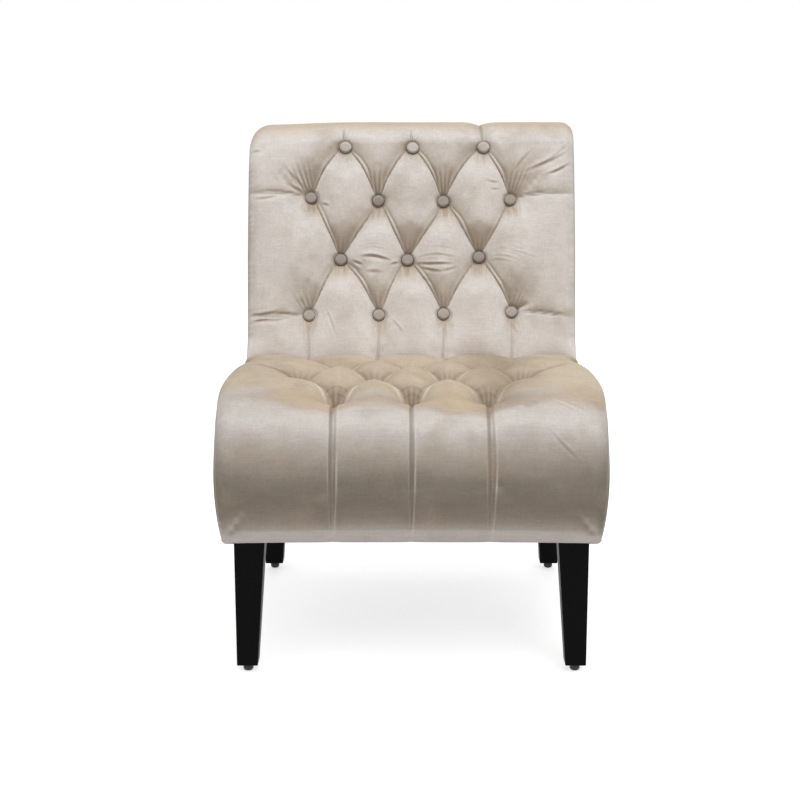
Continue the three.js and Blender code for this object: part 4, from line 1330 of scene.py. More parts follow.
@dataclass
class CoveredButtons:
    """The velvet-covered buttons of one cover."""

    frames: list[tuple[str, Matrix]]
    radius: float = 0.0116
    height: float = 0.0075
    back_gap: float = 0.0003
    disc_share: float = 0.8
    ring_depth: float = 0.0004
    turn_steps: int = 48
    rise_steps: int = 12
    gathers: int = 13
    gather_depth: float = 0.00025
    tilt: float = math.radians(5.0)
    seed: int = 7
    # Painted shade on each button's face: darkest in the deep rows, lighter in the shallow top and bottom
    # rows.
    shade: float = 0.92
    row_painted_shades: tuple[tuple[str, float], ...] = (("back_button_row_1", 0.36), ("back_button_row_4", 0.66))

    def build(self, material: Material) -> list[Piece]:
        """Makes every button in its frame.

        Args:
            material: The velvet.

        Returns:
            The buttons.
        """
        random = np.random.default_rng(self.seed)
        made = []
        for name, frame in self.frames:
            lean = Matrix.Rotation(random.uniform(-self.tilt, self.tilt), 4, "X")
            lean = lean @ Matrix.Rotation(random.uniform(-self.tilt, self.tilt), 4, "Y")
            lift = Matrix.Translation((0.0, 0.0, random.uniform(0.0, 0.0008)))
            shade = next((shade for row, shade in self.row_painted_shades if row in name), self.shade)
            phase = random.uniform(0.0, FULL_TURN)
            piece = self.button(f"{name}_covered", frame @ lift @ lean, phase, shade, material)
            settle_in(piece, Slot.VELVET, name)
            made.append(piece)
        return made

    def button(
        self, name: str, frame: Matrix, phase: float, shade: float, material: Material
    ) -> Piece:
        """Spins one domed button and gathers its cloth round the rim."""
        shape = bmesh.new()
        profile = [(0.0, self.height)]
        for step in range(1, self.rise_steps + 1):
            out = math.sin(QUARTER_TURN * step / self.rise_steps)
            up = (1.0 - out**6.0) ** 0.5
            rim = 0.35 * self.height
            ring = self.ring_depth * math.exp(-(((out - self.disc_share) / 0.06) ** 2))
            profile.append((self.radius * out, rim + (self.height - rim) * up - ring))
        profile.append((self.radius * 0.97, 0.12 * self.height))
        profile.append((self.radius * 0.86, self.back_gap))
        profile.append((0.0, self.back_gap))
        spin_profile(shape, profile, self.turn_steps)
        for vert in shape.verts:
            out = math.hypot(vert.co.x, vert.co.y) / self.radius
            turn = math.atan2(vert.co.y, vert.co.x)
            pull = self.gather_depth * max(0.0, out - 0.6) / 0.4 * math.cos(self.gathers * turn + phase)
            scale = 1.0 + pull / self.radius
            vert.co.x *= scale
            vert.co.y *= scale
            vert.co.z -= 0.5 * pull
        bmesh.ops.recalc_face_normals(shape, faces=shape.faces)
        shape.verts.ensure_lookup_table()
        outs = np.array([math.hypot(vert.co.x, vert.co.y) / self.radius for vert in shape.verts])
        bmesh.ops.transform(shape, matrix=frame, verts=shape.verts)
        piece = mesh_piece(name, shape, material)
        # Painted shade over the face and a darker painted ring at its rim.
        write_attribute(piece, "crease", shade + 0.9 * smooth_step(outs, 0.80, 0.98))
        return piece


@dataclass
class Legs:
    """Four square tapered legs with softened arrises, each with its hanger bolt."""

    top_height: float = 0.232
    foot_height: float = 0.0125
    top_size: float = 0.049
    foot_size: float = 0.033
    from_side: float = 0.0205
    front_from_nose: float = 0.073
    rear_from_back: float = 0.002
    rear_splay: float = 0.012
    arris: float = 0.0018
    bolt_radius: float = 0.004
    bolt_rise: float = 0.038

    def build(self, material: Material, steel: Material) -> None:
        """Makes the four legs.

        Args:
            material: The lacquer.
            steel: The bolts' steel.
        """
        for side in Side:
            for rear in (False, True):
                place = f"{'rear' if rear else 'front'}_{side.name.lower()}"
                piece = self.leg(f"{place}_leg_lacquered", side, rear, material)
                piece.data.materials.append(steel)
                settle_in(piece, Slot.LACQUER, f"{place}_leg")

    def centre(self, side: Side, rear: bool) -> Place:
        """World X and Y of the middle of a leg's top."""
        top = self.top_size / 2.0
        front = CHAIR.base_depth - self.rear_from_back - self.top_size if rear else self.front_from_nose
        return side.value * (CHAIR.half - self.from_side - top), CHAIR.front + front + top

    def bolt_places(self) -> list[Place]:
        """Where the bolts pass through the dust cover."""
        return [self.centre(side, rear) for side in Side for rear in (False, True)]

    def leg(self, name: str, side: Side, rear: bool, material: Material) -> Piece:
        """Shapes one leg from a cube: its foot is drawn in to the outer face, its arrises are rounded."""
        centre_x, centre_y = self.centre(side, rear)
        taper = self.top_size - self.foot_size
        foot_x = centre_x + side.value * taper / 2.0
        foot_y = centre_y - taper / 2.0 + (self.rear_splay + taper if rear else 0.0)
        shape = bmesh.new()
        bmesh.ops.create_cube(shape, size=1.0)
        for vert in shape.verts:
            high = vert.co.z > 0.0
            size = self.top_size if high else self.foot_size
            at_x, at_y = (centre_x, centre_y) if high else (foot_x, foot_y)
            vert.co.x = at_x + vert.co.x * size
            vert.co.y = at_y + vert.co.y * size
            vert.co.z = self.top_height if high else self.foot_height
        bmesh.ops.bevel(
            shape,
            geom=list(shape.edges),
            offset=self.arris,
            segments=4,
            profile=0.5,
            affect="EDGES",
            material=-1,
        )
        bolt = bmesh.ops.create_cone(
            shape,
            cap_ends=True,
            segments=16,
            radius1=self.bolt_radius,
            radius2=self.bolt_radius * 0.7,
            depth=self.bolt_rise + 0.004,
        )
        middle = self.top_height - 0.004 + (self.bolt_rise + 0.004) / 2.0
        bmesh.ops.translate(shape, verts=bolt["verts"], vec=(centre_x, centre_y, middle))
        bolt_faces = {face for vert in bolt["verts"] for face in vert.link_faces}
        for face in bolt_faces:
            face.material_index = 1
        piece = mesh_piece(name, shape, material, smooth=False)
        for polygon in piece.data.polygons:
            polygon.use_smooth = polygon.area < 0.0004
        return piece


@dataclass
class Glides:
    """Nylon glides with a rounded tread, one under each leg."""

    rise_steps: int = 6
    edge: float = 0.0045
    turn_steps: int = 40

    def build(self, material: Material) -> None:
        """Spins a glide where each CAD glide stands.

        Args:
            material: The nylon.
        """
        for side in Side:
            for end in ("front", "rear"):
                node = f"{end}_{side.name.lower()}_glide"
                low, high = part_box(node)
                centre = (low + high) / 2.0
                radius = (high.x - low.x) / 2.0
                shape = bmesh.new()
                profile = [(0.0, low.z), (radius - self.edge, low.z)]
                for step in range(1, self.rise_steps + 1):
                    turn = QUARTER_TURN * step / self.rise_steps
                    profile.append((
                        radius - self.edge + self.edge * math.sin(turn),
                        low.z + self.edge * (1.0 - math.cos(turn)),
                    ))
                profile += [(radius, high.z - 0.0008), (radius - 0.0008, high.z), (0.0, high.z)]
                spin_profile(shape, profile, self.turn_steps)
                bmesh.ops.recalc_face_normals(shape, faces=shape.faces)
                bmesh.ops.translate(shape, verts=shape.verts, vec=(centre.x, centre.y, 0.0))
                piece = mesh_piece(f"{node}_nylon", shape, material)
                settle_in(piece, Slot.GLIDE, node)


@dataclass
class OutsideBack:
    """The plain velvet panel that closes the back from behind."""

    columns: int = 120
    rows: int = 150
    edge: float = 0.004
    thickness: float = 0.005
    hem: float = 0.03

    def build(self, material: Material) -> None:
        """Lays the panel down the outside line, with its edges rolled in to their seams.

        Args:
            material: The velvet.
        """
        outline = Outline(CHAIR.leaning_point(CHAIR.lean_run - CHAIR.rear_wrap), outward=-1)
        outline.line(CHAIR.base_depth, CHAIR.kick_height)
        outline.line(CHAIR.base_depth, CHAIR.base_floor)
        outline.line(CHAIR.base_depth - self.hem, CHAIR.base_floor)
        half = CHAIR.back_half - CHAIR.panel_inset
        length = outline.length
        down = np.linspace(0.0, length, self.rows + 1)
        place, outward = outline.at(down)
        across = np.linspace(-1.0, 1.0, self.columns + 1)
        across = np.sign(across) * (1.0 - (1.0 - np.abs(across)) ** 1.25) * half
        x, s = np.meshgrid(across, down)
        side_gap = half - np.abs(x)
        near = np.clip(1.0 - side_gap / self.edge, 0.0, 1.0)
        roll = self.edge * (1.0 - np.sqrt(np.clip(1.0 - near**2, 0.0, 1.0)))
        top_roll = self.edge * (
            1.0 - np.sqrt(np.clip(1.0 - np.clip(1.0 - s / self.edge, 0.0, 1.0) ** 2, 0.0, 1.0))
        )
        ripple = 0.0006 * np.sin(x * 41.0 + 2.0 * np.sin(s * 9.0)) * np.sin(np.pi * s / length)
        pull = 0.0009 * np.sin(s * 310.0 + 2.0 * np.sin(s * 37.0)) * np.exp(-side_gap / 0.012)
        height = 0.0012 * np.sin(np.pi * (x / half + 1.0) / 2.0) - np.maximum(roll, top_roll) + ripple + pull
        points = np.empty(x.shape + (3,))
        points[..., 0] = x
        points[..., 1] = CHAIR.front + place[:, 0][:, None] + outward[:, 0][:, None] * height
        points[..., 2] = place[:, 1][:, None] + outward[:, 1][:, None] * height
        piece = grid_piece("outside_back_velvet", points[:, ::-1], material)
        # Painted shade along the panel's edges, where it rolls into its seams.
        write_attribute(piece, "crease", np.exp(-side_gap / 0.0015))
        write_attribute(piece, "drawn_in", np.zeros_like(x))
        thicken(piece, self.thickness, -1.0)
        settle_in(piece, Slot.VELVET, "outside_back_panel")


@dataclass
class FoamPad:
    """A foam block: swollen a little by a simulation, and dented where the buttons' cords draw it in."""

    node: str
    voxel: float = 0.006
    start_inset: float = 0.0026
    dent_depth: float = 0.009
    dent_reach: float = 0.042
    smooth_rounds: int = 3
    inflation: Inflation = Inflation(pressure=2.0, frames=10)

    def build(self, source: Piece, buttons: list[Matrix], material: Material) -> None:
        """Makes the pad from the room that its CAD solid holds.

        Args:
            source: The CAD node, which is only read.
            buttons: The frames of the buttons over the pad.
            material: The foam.
        """
        mesh = source.data.copy()
        mesh.name = f"{self.node}_block"
        mesh.materials.clear()
        mesh.materials.append(material)
        piece = bpy.data.objects.new(mesh.name, mesh)
        bpy.context.scene.collection.objects.link(piece)
        bpy.context.view_layer.objects.active = piece
        mesh.remesh_voxel_size = self.voxel
        bpy.ops.object.voxel_remesh()
        mesh = piece.data
        shape = bmesh.new()
        shape.from_mesh(mesh)
        for _ in range(self.smooth_rounds):
            bmesh.ops.smooth_vert(
                shape, verts=shape.verts, factor=0.5, use_axis_x=True, use_axis_y=True, use_axis_z=True
            )
        for face in shape.faces:
            face.smooth = True
        shape.to_mesh(mesh)
        shape.free()
        points = read_points(mesh) - read_normals(mesh) * self.start_inset
        mesh.vertices.foreach_set("co", points.reshape(-1).astype(np.float32))
        mesh.update()
        points = points + self.inflation.offsets(piece)
        points = points - self.dents(points, buttons)
        mesh.vertices.foreach_set("co", points.reshape(-1).astype(np.float32))
        mesh.update()
        settle_in(piece, Slot.FOAM, self.node)

    def dents(self, points: Array, buttons: list[Matrix]) -> Array:
        """How far the cords draw each point in."""
        total = np.zeros_like(points)
        for frame in buttons:
            out = np.array(frame.col[2][:3])
            away = points - np.array(frame.translation)
            beside = np.linalg.norm(away - (away @ out)[:, None] * out, axis=1)
            near = np.clip(1.0 - beside / self.dent_reach, 0.0, 1.0) ** 2
            facing = smooth_step(away @ out, -0.045, -0.012)
            total += (near * facing * self.dent_depth)[:, None] * out
        return total


@dataclass
class StretchedSheet:
    """A cloth stapled flat over or under the frame, with a turned hem round its edge."""

    name: str
    node: str
    slot: Slot
    thickness: float
    rests_on: tuple[str, ...]
    spacing: float = 0.006
    hem: float = 0.016
    hem_rise: float = 0.0002
    ripple: float = 0.0002
    staple_pitch: float = 0.045
    staple_side: int = -1

    def lift(self, y: Array) -> Array:
        """How far the middle of the cloth is lifted at a world Y."""
        return np.zeros_like(y)

    def build(
        self, material: Material, steel: Material, holes: list[Place] | None = None
    ) -> None:
        """Lays the sheet in the room of its CAD solid.

        Args:
            material: The cloth.
            steel: The staples' steel.
            holes: Places across and back at which bolts pierce the sheet.
        """
        low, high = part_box(self.node)
        x = np.linspace(low.x, high.x, round((high.x - low.x) / self.spacing) + 1)
        y = np.linspace(low.y, high.y, round((high.y - low.y) / self.spacing) + 1)
        across, back = np.meshgrid(x, y)
        edge = np.minimum(
            np.minimum(across - low.x, high.x - across), np.minimum(back - low.y, high.y - back)
        )
        hem = self.hem_rise * (1.0 - smooth_step(edge, self.hem - 0.002, self.hem))
        z = low.z + self.thickness + self.lift(back) + hem
        z = z + self.ripple * np.sin(across * 47.0 + 2.0 * np.sin(back * 21.0)) * np.sin(back * 39.0)
        piece = grid_piece(self.name, np.stack([across, back, z], axis=-1)[::-1], material)
        shape = bmesh.new()
        shape.from_mesh(piece.data)
        pierced = [
            face
            for face in shape.faces
            for place in holes or []
            if math.dist(face.calc_center_median()[:2], place) < self.spacing
        ]
        bmesh.ops.delete(shape, geom=pierced, context="FACES")
        shape.to_mesh(piece.data)
        shape.free()
        thicken(piece, self.thickness, 0.0)
        settle_in(piece, self.slot, self.node)
        staples = self.staples(low, high, steel)

    def staples(self, low: Vector, high: Vector, steel: Material) -> Piece:
        """Wire staples along the front and rear hems.

        Args:
            low: The sheet's low corner.
            high: The sheet's high corner.
            steel: The steel.

        Returns:
            The staples as one piece.
        """
        crown, wire, leg = 0.010, 0.0007, 0.0007
        shape = bmesh.new()
        count = int((high.x - low.x - 0.03) / self.staple_pitch)
        for i in range(count + 1):
            x = low.x + 0.015 + (high.x - low.x - 0.03) * i / count
            for y in (low.y + 0.007, high.y - 0.007):
                made = bmesh.ops.create_cube(shape, size=1.0)
                z = low.z + self.thickness + float(self.lift(np.array(y)))
                z += self.staple_side * (0.5 * self.thickness + 0.4 * wire) + self.hem_rise
                bmesh.ops.scale(shape, verts=made["verts"], vec=(crown, wire, leg))
                bmesh.ops.translate(shape, verts=made["verts"], vec=(x, y, z))
        bmesh.ops.bevel(
            shape, geom=list(shape.edges), offset=0.0002, segments=2, profile=0.5, affect="EDGES", material=-1
        )
        piece = mesh_piece(f"{self.name}_staples", shape, steel)
        settle_in(piece, Slot.STEEL)
        return piece


@dataclass
class SpringDeck(StretchedSheet):
    """The felt over the springs, which arches with them."""

    def lift(self, y: Array) -> Array:
        """The springs' arch between the front and rear rails."""
        low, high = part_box(self.node)
        ends = [sum(corner.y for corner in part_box(rail)) / 2.0 for rail in ("front_rail", "rear_rail")]
        share = np.clip((y - ends[0]) / (ends[1] - ends[0]), 0.0, 1.0)
        rise = high.z - low.z - 2.0 * self.thickness
        return rise * np.sin(np.pi * share) ** 2


@dataclass
class BackStraps:
    """Elastic webbing bands stretched up the back between its two rails, with doubled ends."""

    inset: float = 0.04235
    thickness: float = 0.0011
    end_length: float = 0.03
    low: float = 0.014
    top_below_roll: float = 0.026
    ridges: int = 5

    def build(self, material: Material) -> None:
        """Makes each band where its CAD strap is.

        Args:
            material: The webbing.
        """
        top = CHAIR.lean_run - self.top_below_roll
        inward = np.array([-math.cos(CHAIR.lean), math.sin(CHAIR.lean)])
        for i in range(1, 4):
            node = f"back_strap_{i}"
            low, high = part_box(node)
            along = np.linspace(self.low, top, 111)
            across = np.linspace(low.x, high.x, 31)
            x, s = np.meshgrid(across, along)
            share = (x - low.x) / (high.x - low.x)
            from_end = np.minimum(s - self.low, top - s)
            ends = 1.0 - smooth_step(from_end, self.end_length - 0.002, self.end_length)
            height = self.inset + 0.00008 * np.cos(FULL_TURN * self.ridges * share) + 0.0001 * ends
            points = np.empty(x.shape + (3,))
            points[..., 0] = x
            line = np.array([CHAIR.leaning_point(float(a)) for a in along])
            points[..., 1] = CHAIR.front + line[:, 0][:, None] + inward[0] * height
            points[..., 2] = line[:, 1][:, None] + inward[1] * height
            piece = grid_piece(f"{node}_woven", points[::-1], material)
            thicken(piece, self.thickness, 0.0)
            settle_in(piece, Slot.WEBBING, node)


class Signal:
    """A shader socket that Python arithmetic turns into Math nodes."""

    def __init__(self, nodes: "Nodes", socket: bpy.types.NodeSocket) -> None:
        """Wraps a socket of a node tree."""
        self.nodes = nodes
        self.socket = socket

    def maths(self, operation: str, left: "Signal | float", right: "Signal | float" = 0.0) -> "Signal":
        """Adds one Math node."""
        return self.nodes.add("ShaderNodeMath", {"operation": operation}, {0: left, 1: right})

    def __add__(self, other: "Signal | float") -> "Signal":
        """Adds."""
        return self.maths("ADD", self, other)

    __radd__ = __add__

    def __sub__(self, other: "Signal | float") -> "Signal":
        """Subtracts."""
        return self.maths("SUBTRACT", self, other)

    def __rsub__(self, other: float) -> "Signal":
        """Subtracts from a number."""
        return self.maths("SUBTRACT", other, self)

    def __mul__(self, other: "Signal | float") -> "Signal":
        """Multiplies."""
        return self.maths("MULTIPLY", self, other)

    __rmul__ = __mul__

    def __truediv__(self, other: "Signal | float") -> "Signal":
        """Divides."""
        return self.maths("DIVIDE", self, other)

    def __pow__(self, other: float) -> "Signal":
        """Raises to a power."""
        return self.maths("POWER", self, other)

    def clamped(self) -> "Signal":
        """Keeps the value between 0 and 1."""
        return self.nodes.add("ShaderNodeClamp", {}, {"Value": self})


class Nodes:
    """The node tree of one material."""

    def __init__(self, name: str) -> None:
        """Makes an empty material with a surface shader and its output."""
        self.material = bpy.data.materials.new(name)
        self.material.use_nodes = True
        self.tree = self.material.node_tree
        self.tree.nodes.clear()

    def add(
        self, kind: str, settings: dict | None = None, inputs: dict | None = None, output: str | int = 0
    ) -> Signal:
        """Adds a node.

        Args:
            kind: The node's type.
            settings: Its settings, such as an operation, or a ramp's stops.
            inputs: Values or links of its sockets, by name or number.
            output: The output socket to return.

        Returns:
            The output as a signal.
        """
        node = self.tree.nodes.new(kind)
        for key, value in (settings or {}).items():
            if key == "stops":
                self.set_stops(node.color_ramp, value)
            else:
                setattr(node, key, value)
        for key, value in (inputs or {}).items():
            if isinstance(value, Signal):
                self.tree.links.new(value.socket, node.inputs[key])
            else:
                node.inputs[key].default_value = value
        return Signal(self, node.outputs[output]) if len(node.outputs) else Signal(self, None)

    @staticmethod
    def set_stops(ramp: bpy.types.ColorRamp, stops: list[tuple[float, Colour]]) -> None:
        """Sets a ramp's stops."""
        while len(ramp.elements) > 1:
            ramp.elements.remove(ramp.elements[-1])
        ramp.elements[0].position, ramp.elements[0].color = stops[0]
        for position, colour in stops[1:]:
            ramp.elements.new(position).color = colour

    def coordinates(self, scale: Triple = (1.0, 1.0, 1.0)) -> Signal:
        """Object coordinates, stretched."""
        place = self.add("ShaderNodeTexCoord", output="Object")
        return self.add("ShaderNodeMapping", {"vector_type": "POINT"}, {"Vector": place, "Scale": scale})

    def noise(
        self, scale: float, detail: float = 2.0, stretch: Triple = (1.0, 1.0, 1.0)
    ) -> Signal:
        """Smooth noise from 0 to 1 on stretched object coordinates."""
        return self.add(
            "ShaderNodeTexNoise",
            {"noise_dimensions": "3D"},
            {"Vector": self.coordinates(stretch), "Scale": scale, "Detail": detail},
        )

    def mix(self, share: Signal | float, first: "Signal | Colour", second: "Signal | Colour") -> Signal:
        """Mixes two colours."""
        return self.add("ShaderNodeMix", {"data_type": "RGBA"}, {0: share, 6: first, 7: second}, output=2)

    def scaled(self, colour: Signal, share: Signal) -> Signal:
        """Makes a colour lighter or darker by a share."""
        return self.add("ShaderNodeVectorMath", {"operation": "SCALE"}, {0: colour, 3: share})

    def surface(self, inputs: dict) -> Material:
        """Ends the tree in a Principled surface.

        Args:
            inputs: Values or links of its sockets.

        Returns:
            The material.
        """
        shader = self.add("ShaderNodeBsdfPrincipled", {}, inputs, output="BSDF")
        self.add("ShaderNodeOutputMaterial", {}, {"Surface": shader})
        return self.material

    def bump(self, height: Signal, strength: float, distance: float) -> Signal:
        """A bumped normal."""
        inputs = {"Height": height, "Strength": strength, "Distance": distance}
        return self.add("ShaderNodeBump", {}, inputs, "Normal")


@dataclass(frozen=True)
class Velvet:
    """Short-pile champagne velvet whose colour is painted by which way it faces: partly the lie of its pile,
    partly painted shade and painted light.

    Each list gives the painted shade for surfaces that face down (0) to up (1).
    """

    # Each ramp paints shade by facing: partly the pile's lie, partly painted shade on front faces and painted
    # floor light under the nose.
    seat_nap_painted_shade: tuple[tuple[float, Colour], ...] = (
        (0.20, tint(190, 182, 176)),
        (0.335, tint(178, 170, 165)),
        (0.40, tint(148, 138, 128)),
        (0.437, tint(126, 116, 105)),
        (0.465, tint(118, 108, 97)),
        (0.50, tint(121, 112, 101)),
        (0.555, tint(130, 120, 110)),
        (0.62, tint(143, 134, 123)),
        (0.683, tint(158, 148, 138)),
        (0.74, tint(170, 161, 152)),
        (0.805, tint(185, 178, 172)),
        (0.865, tint(202, 196, 190)),
        (0.940, tint(204, 197, 190)),
        (0.975, tint(192, 176, 160)),
        (1.0, tint(198, 179, 154)),
    )
    top_nap_painted_shade: tuple[tuple[float, Colour], ...] = (
        (0.50, tint(132, 118, 104)),
        (0.80, tint(158, 143, 127)),
        (0.90, tint(176, 160, 142)),
        (0.955, tint(196, 180, 160)),
        (0.985, tint(205, 189, 167)),
        (1.0, tint(209, 193, 170)),
    )
    back_nap_painted_shade: tuple[tuple[float, Colour], ...] = (
        (0.10, tint(118, 103, 88)),
        (0.35, tint(130, 116, 101)),
        (0.45, tint(144, 130, 116)),
        (0.52, tint(161, 148, 135)),
        (0.58, tint(186, 176, 165)),
        (0.64, tint(206, 198, 191)),
        (0.74, tint(219, 213, 208)),
        (0.87, tint(213, 203, 191)),
        (0.94, tint(206, 189, 171)),
        (1.0, tint(202, 184, 164)),
    )
    side_nap_painted_shade: tuple[tuple[float, Colour], ...] = (
        (0.30, tint(140, 130, 119)),
        (0.50, tint(150, 140, 129)),
        (0.70, tint(182, 172, 162)),
        (0.95, tint(200, 182, 162)),
    )
    crease_painted_shade: Colour = tint(96, 82, 68)
    lip_painted_highlight: Colour = tint(230, 221, 206)
    deep_painted_shade_and_bruise: Colour = tint(156, 138, 117)
    halo_nap_and_painted_shade: Colour = tint(168, 148, 124)
    sheen: float = 0.12
    sheen_roughness: float = 0.35

    def build(self) -> Material:
        """Makes the material."""
        nodes = Nodes("champagne_velvet")
        normal = {"Vector": nodes.add("ShaderNodeNewGeometry", output="Normal")}
        across = nodes.add("ShaderNodeSeparateXYZ", {}, normal, "X")
        back = nodes.add("ShaderNodeSeparateXYZ", {}, normal, "Y")
        up = nodes.add("ShaderNodeSeparateXYZ", {}, normal, "Z")
        crush = nodes.noise(9.0, 3.0)
        patches = nodes.noise(42.0, 3.0)
        # The facing that picks each colour from the ramps, so light and shade are painted by which way the
        # cloth faces.
        level_up = up / (1.03 - across * across) ** 0.5
        turned = (level_up + across * 0.05 + (crush - 0.5) * 0.10 + (patches - 0.5) * 0.06) * 0.5 + 0.5
        lie = nodes.add("ShaderNodeAttribute", {"attribute_name": "lie"}, {}, "Fac")
        on_seat = lie.clamped()
        place_across = nodes.add("ShaderNodeSeparateXYZ", {}, {"Vector": nodes.coordinates()}, "X")
        # Painted light and shade bands across the nose: the facing is nudged by place between its pleats.
        wave = (place_across - 0.07) * 28.0
        spot = (wave * wave * 0.7 + 1.0) ** -1.0
        rolled = wave.maths("COSINE", wave) * 0.022 + spot * 0.026 - 0.008
        turned_over = turned + rolled * ((up - 0.45) * 2.5).clamped()
        back_shade, seat_shade, side_shade, top_shade = (
            nodes.add("ShaderNodeValToRGB", {"stops": stops}, {"Fac": facing})
            for stops, facing in (
                (self.back_nap_painted_shade, turned),
                (self.seat_nap_painted_shade, turned_over),
                (self.side_nap_painted_shade, turned),
                (self.top_nap_painted_shade, turned),
            )
        )
        front = nodes.mix(on_seat, back_shade, nodes.mix((lie - 1.0).clamped(), seat_shade, top_shade))
        # Sides and rear faces take the side ramp: painted shade for surfaces that face sideways or behind.
        behind = nodes.add(
            "ShaderNodeMapRange",
            {"interpolation_type": "SMOOTHSTEP"},
            {"Value": back, "From Min": -0.1, "From Max": 0.5},
        )
        aside = nodes.add(
            "ShaderNodeMapRange",
            {"interpolation_type": "SMOOTHSTEP"},
            {"Value": (1.0 - across * across).clamped() ** 0.5, "From Min": 0.5, "From Max": 0.03},
        )
        level = nodes.add(
            "ShaderNodeMapRange",
            {"interpolation_type": "SMOOTHSTEP"},
            {"Value": up, "From Min": 0.5, "From Max": 0.85},
        )
        colour = nodes.mix(((behind + aside) * (1.0 - level)).clamped(), front, side_shade)
        # The crease attribute paints shade into creases, pleat lines, furrows and round buttons; its negative
        # values paint highlights on fold lips.
        crease = nodes.add("ShaderNodeAttribute", {"attribute_name": "crease"}, {}, "Fac")
        colour = nodes.mix((crease * 0.62).clamped(), colour, self.crease_painted_shade)
        colour = nodes.mix((crease * -0.4).clamped(), colour, self.lip_painted_highlight)
        # A painted shadow band on the nose beside the third pleat.
        beside_pleat = ((place_across - 0.085) * 28.0).clamped() * ((0.22 - place_across) * 18.0).clamped()
        shadow = beside_pleat * ((turned_over - 0.925) * 40.0).clamped() * on_seat
        colour = nodes.mix(shadow * 0.5, colour, self.deep_painted_shade_and_bruise)
        # Painted shade in the seat's hollows, darker the further the cloth is drawn in.
        drawn = nodes.add("ShaderNodeAttribute", {"attribute_name": "drawn_in"}, {}, "Fac")
        sunk = nodes.add(
            "ShaderNodeMapRange",
            {"interpolation_type": "SMOOTHSTEP"},
            {"Value": drawn * on_seat, "From Min": 0.008, "From Max": 0.030},
        )
        colour = nodes.mix(sunk * 0.22, colour, self.deep_painted_shade_and_bruise)
        # A tan patch painted below each button: partly the lie of the pile, partly painted shade.
        halo = nodes.add("ShaderNodeAttribute", {"attribute_name": "halo"}, {}, "Fac")
        fringe = nodes.noise(1.0, 3.0, (300.0, 45.0, 45.0))
        halo_tone = (halo * (1.0 - on_seat) * (fringe * 2.2 - 0.35).clamped() * 1.15).clamped()
        colour = nodes.mix(halo_tone * 0.85, colour, self.halo_nap_and_painted_shade)
        bruise = nodes.add(
            "ShaderNodeMapRange",
            {"interpolation_type": "SMOOTHSTEP"},
            {"Value": nodes.noise(15.0, 5.0), "From Min": 0.5, "From Max": 0.72},
        )
        colour = nodes.mix(bruise * 0.28, colour, self.deep_painted_shade_and_bruise)
        place_up = nodes.add("ShaderNodeSeparateXYZ", {}, {"Vector": nodes.coordinates()}, "Z")
        # Painted light low on the back, and painted shade towards the left of the back and of the seat top.
        lit_below = ((0.57 - place_up) * 10.0).clamped() * (1.0 - on_seat) * 0.055
        dim_left = ((place_across + 0.13) * -9.0).clamped() * ((0.74 - place_up) * 6.0).clamped() * 0.045
        dim_top = ((place_across + 0.15) * -9.0).clamped() * ((up - 0.8) * 8.0).clamped() * 0.055
        dimmed = dim_left * (1.0 - on_seat) + dim_top * on_seat
        speckle = nodes.noise(260.0, 3.0)
        upright_thread = nodes.noise(1.0, 3.0, (620.0, 70.0, 70.0))
        cross_thread = nodes.noise(1.0, 3.0, (60.0, 540.0, 540.0))
        ribs = nodes.noise(1.0, 2.0, (22.0, 330.0, 330.0))
        grain = nodes.noise(900.0, 2.0)
        tone = (
            1.02
            + (crush - 0.5) * 0.14
            + (patches - 0.5) * 0.14
            + (upright_thread - 0.5) * 0.13
            + (cross_thread - 0.5) * 0.15
            + (ribs - 0.5) * 0.16
            + (speckle - 0.5) * 0.26
            + (grain - 0.5) * 0.12
            + lit_below
            - dimmed
        )
        colour = nodes.scaled(colour, tone)
        height = upright_thread + cross_thread + grain + ribs * 3.0 + speckle * 2.0
        return nodes.surface({
            "Base Color": colour,
            "Roughness": 0.8,
            "Specular IOR Level": 0.2,
            "Sheen Weight": self.sheen,
            "Sheen Roughness": self.sheen_roughness,
            "Sheen Tint": (1.0, 0.97, 0.93, 1.0),
            "Normal": nodes.bump(height, 0.25, 0.0004),
        })


@dataclass(frozen=True)
class Lacquer:
    """Black satin lacquer over fine-grained wood."""

    black: Colour = tint(3, 3, 3)
    worn: Colour = tint(9, 8, 8)

    def build(self) -> Material:
        """Makes the material."""
        nodes = Nodes("black_lacquer")
        grain = nodes.noise(1.0, 3.0, (500.0, 500.0, 22.0))
        cloud = nodes.noise(26.0, 2.0)
        colour = nodes.mix((grain * cloud).clamped(), self.black, self.worn)
        return nodes.surface({
            "Base Color": colour,
            "Roughness": (0.40 + (cloud - 0.5) * 0.16).clamped(),
            "Specular IOR Level": 0.06,
            "Normal": nodes.bump(grain, 0.12, 0.0004),
        })


@dataclass(frozen=True)
class Plain:
    """A finish of one colour with a grain of its own and a matching bump."""

    name: str
    light: Colour
    dark: Colour
    scale: float
    stretch: Triple
    roughness: float
    metallic: float = 0.0
    bump: float = 0.2
    bump_depth: float = 0.0005

    def build(self) -> Material:
        """Makes the material."""
        nodes = Nodes(self.name)
        grain = nodes.noise(self.scale, 4.0, self.stretch)
        cloud = nodes.noise(17.0, 2.0)
        colour = nodes.mix((grain * 0.7 + cloud * 0.4 - 0.1).clamped(), self.dark, self.light)
        return nodes.surface({
            "Base Color": colour,
            "Roughness": (self.roughness + (cloud - 0.5) * 0.15).clamped(),
            "Metallic": self.metallic,
            "Normal": nodes.bump(grain, self.bump, self.bump_depth),
        })


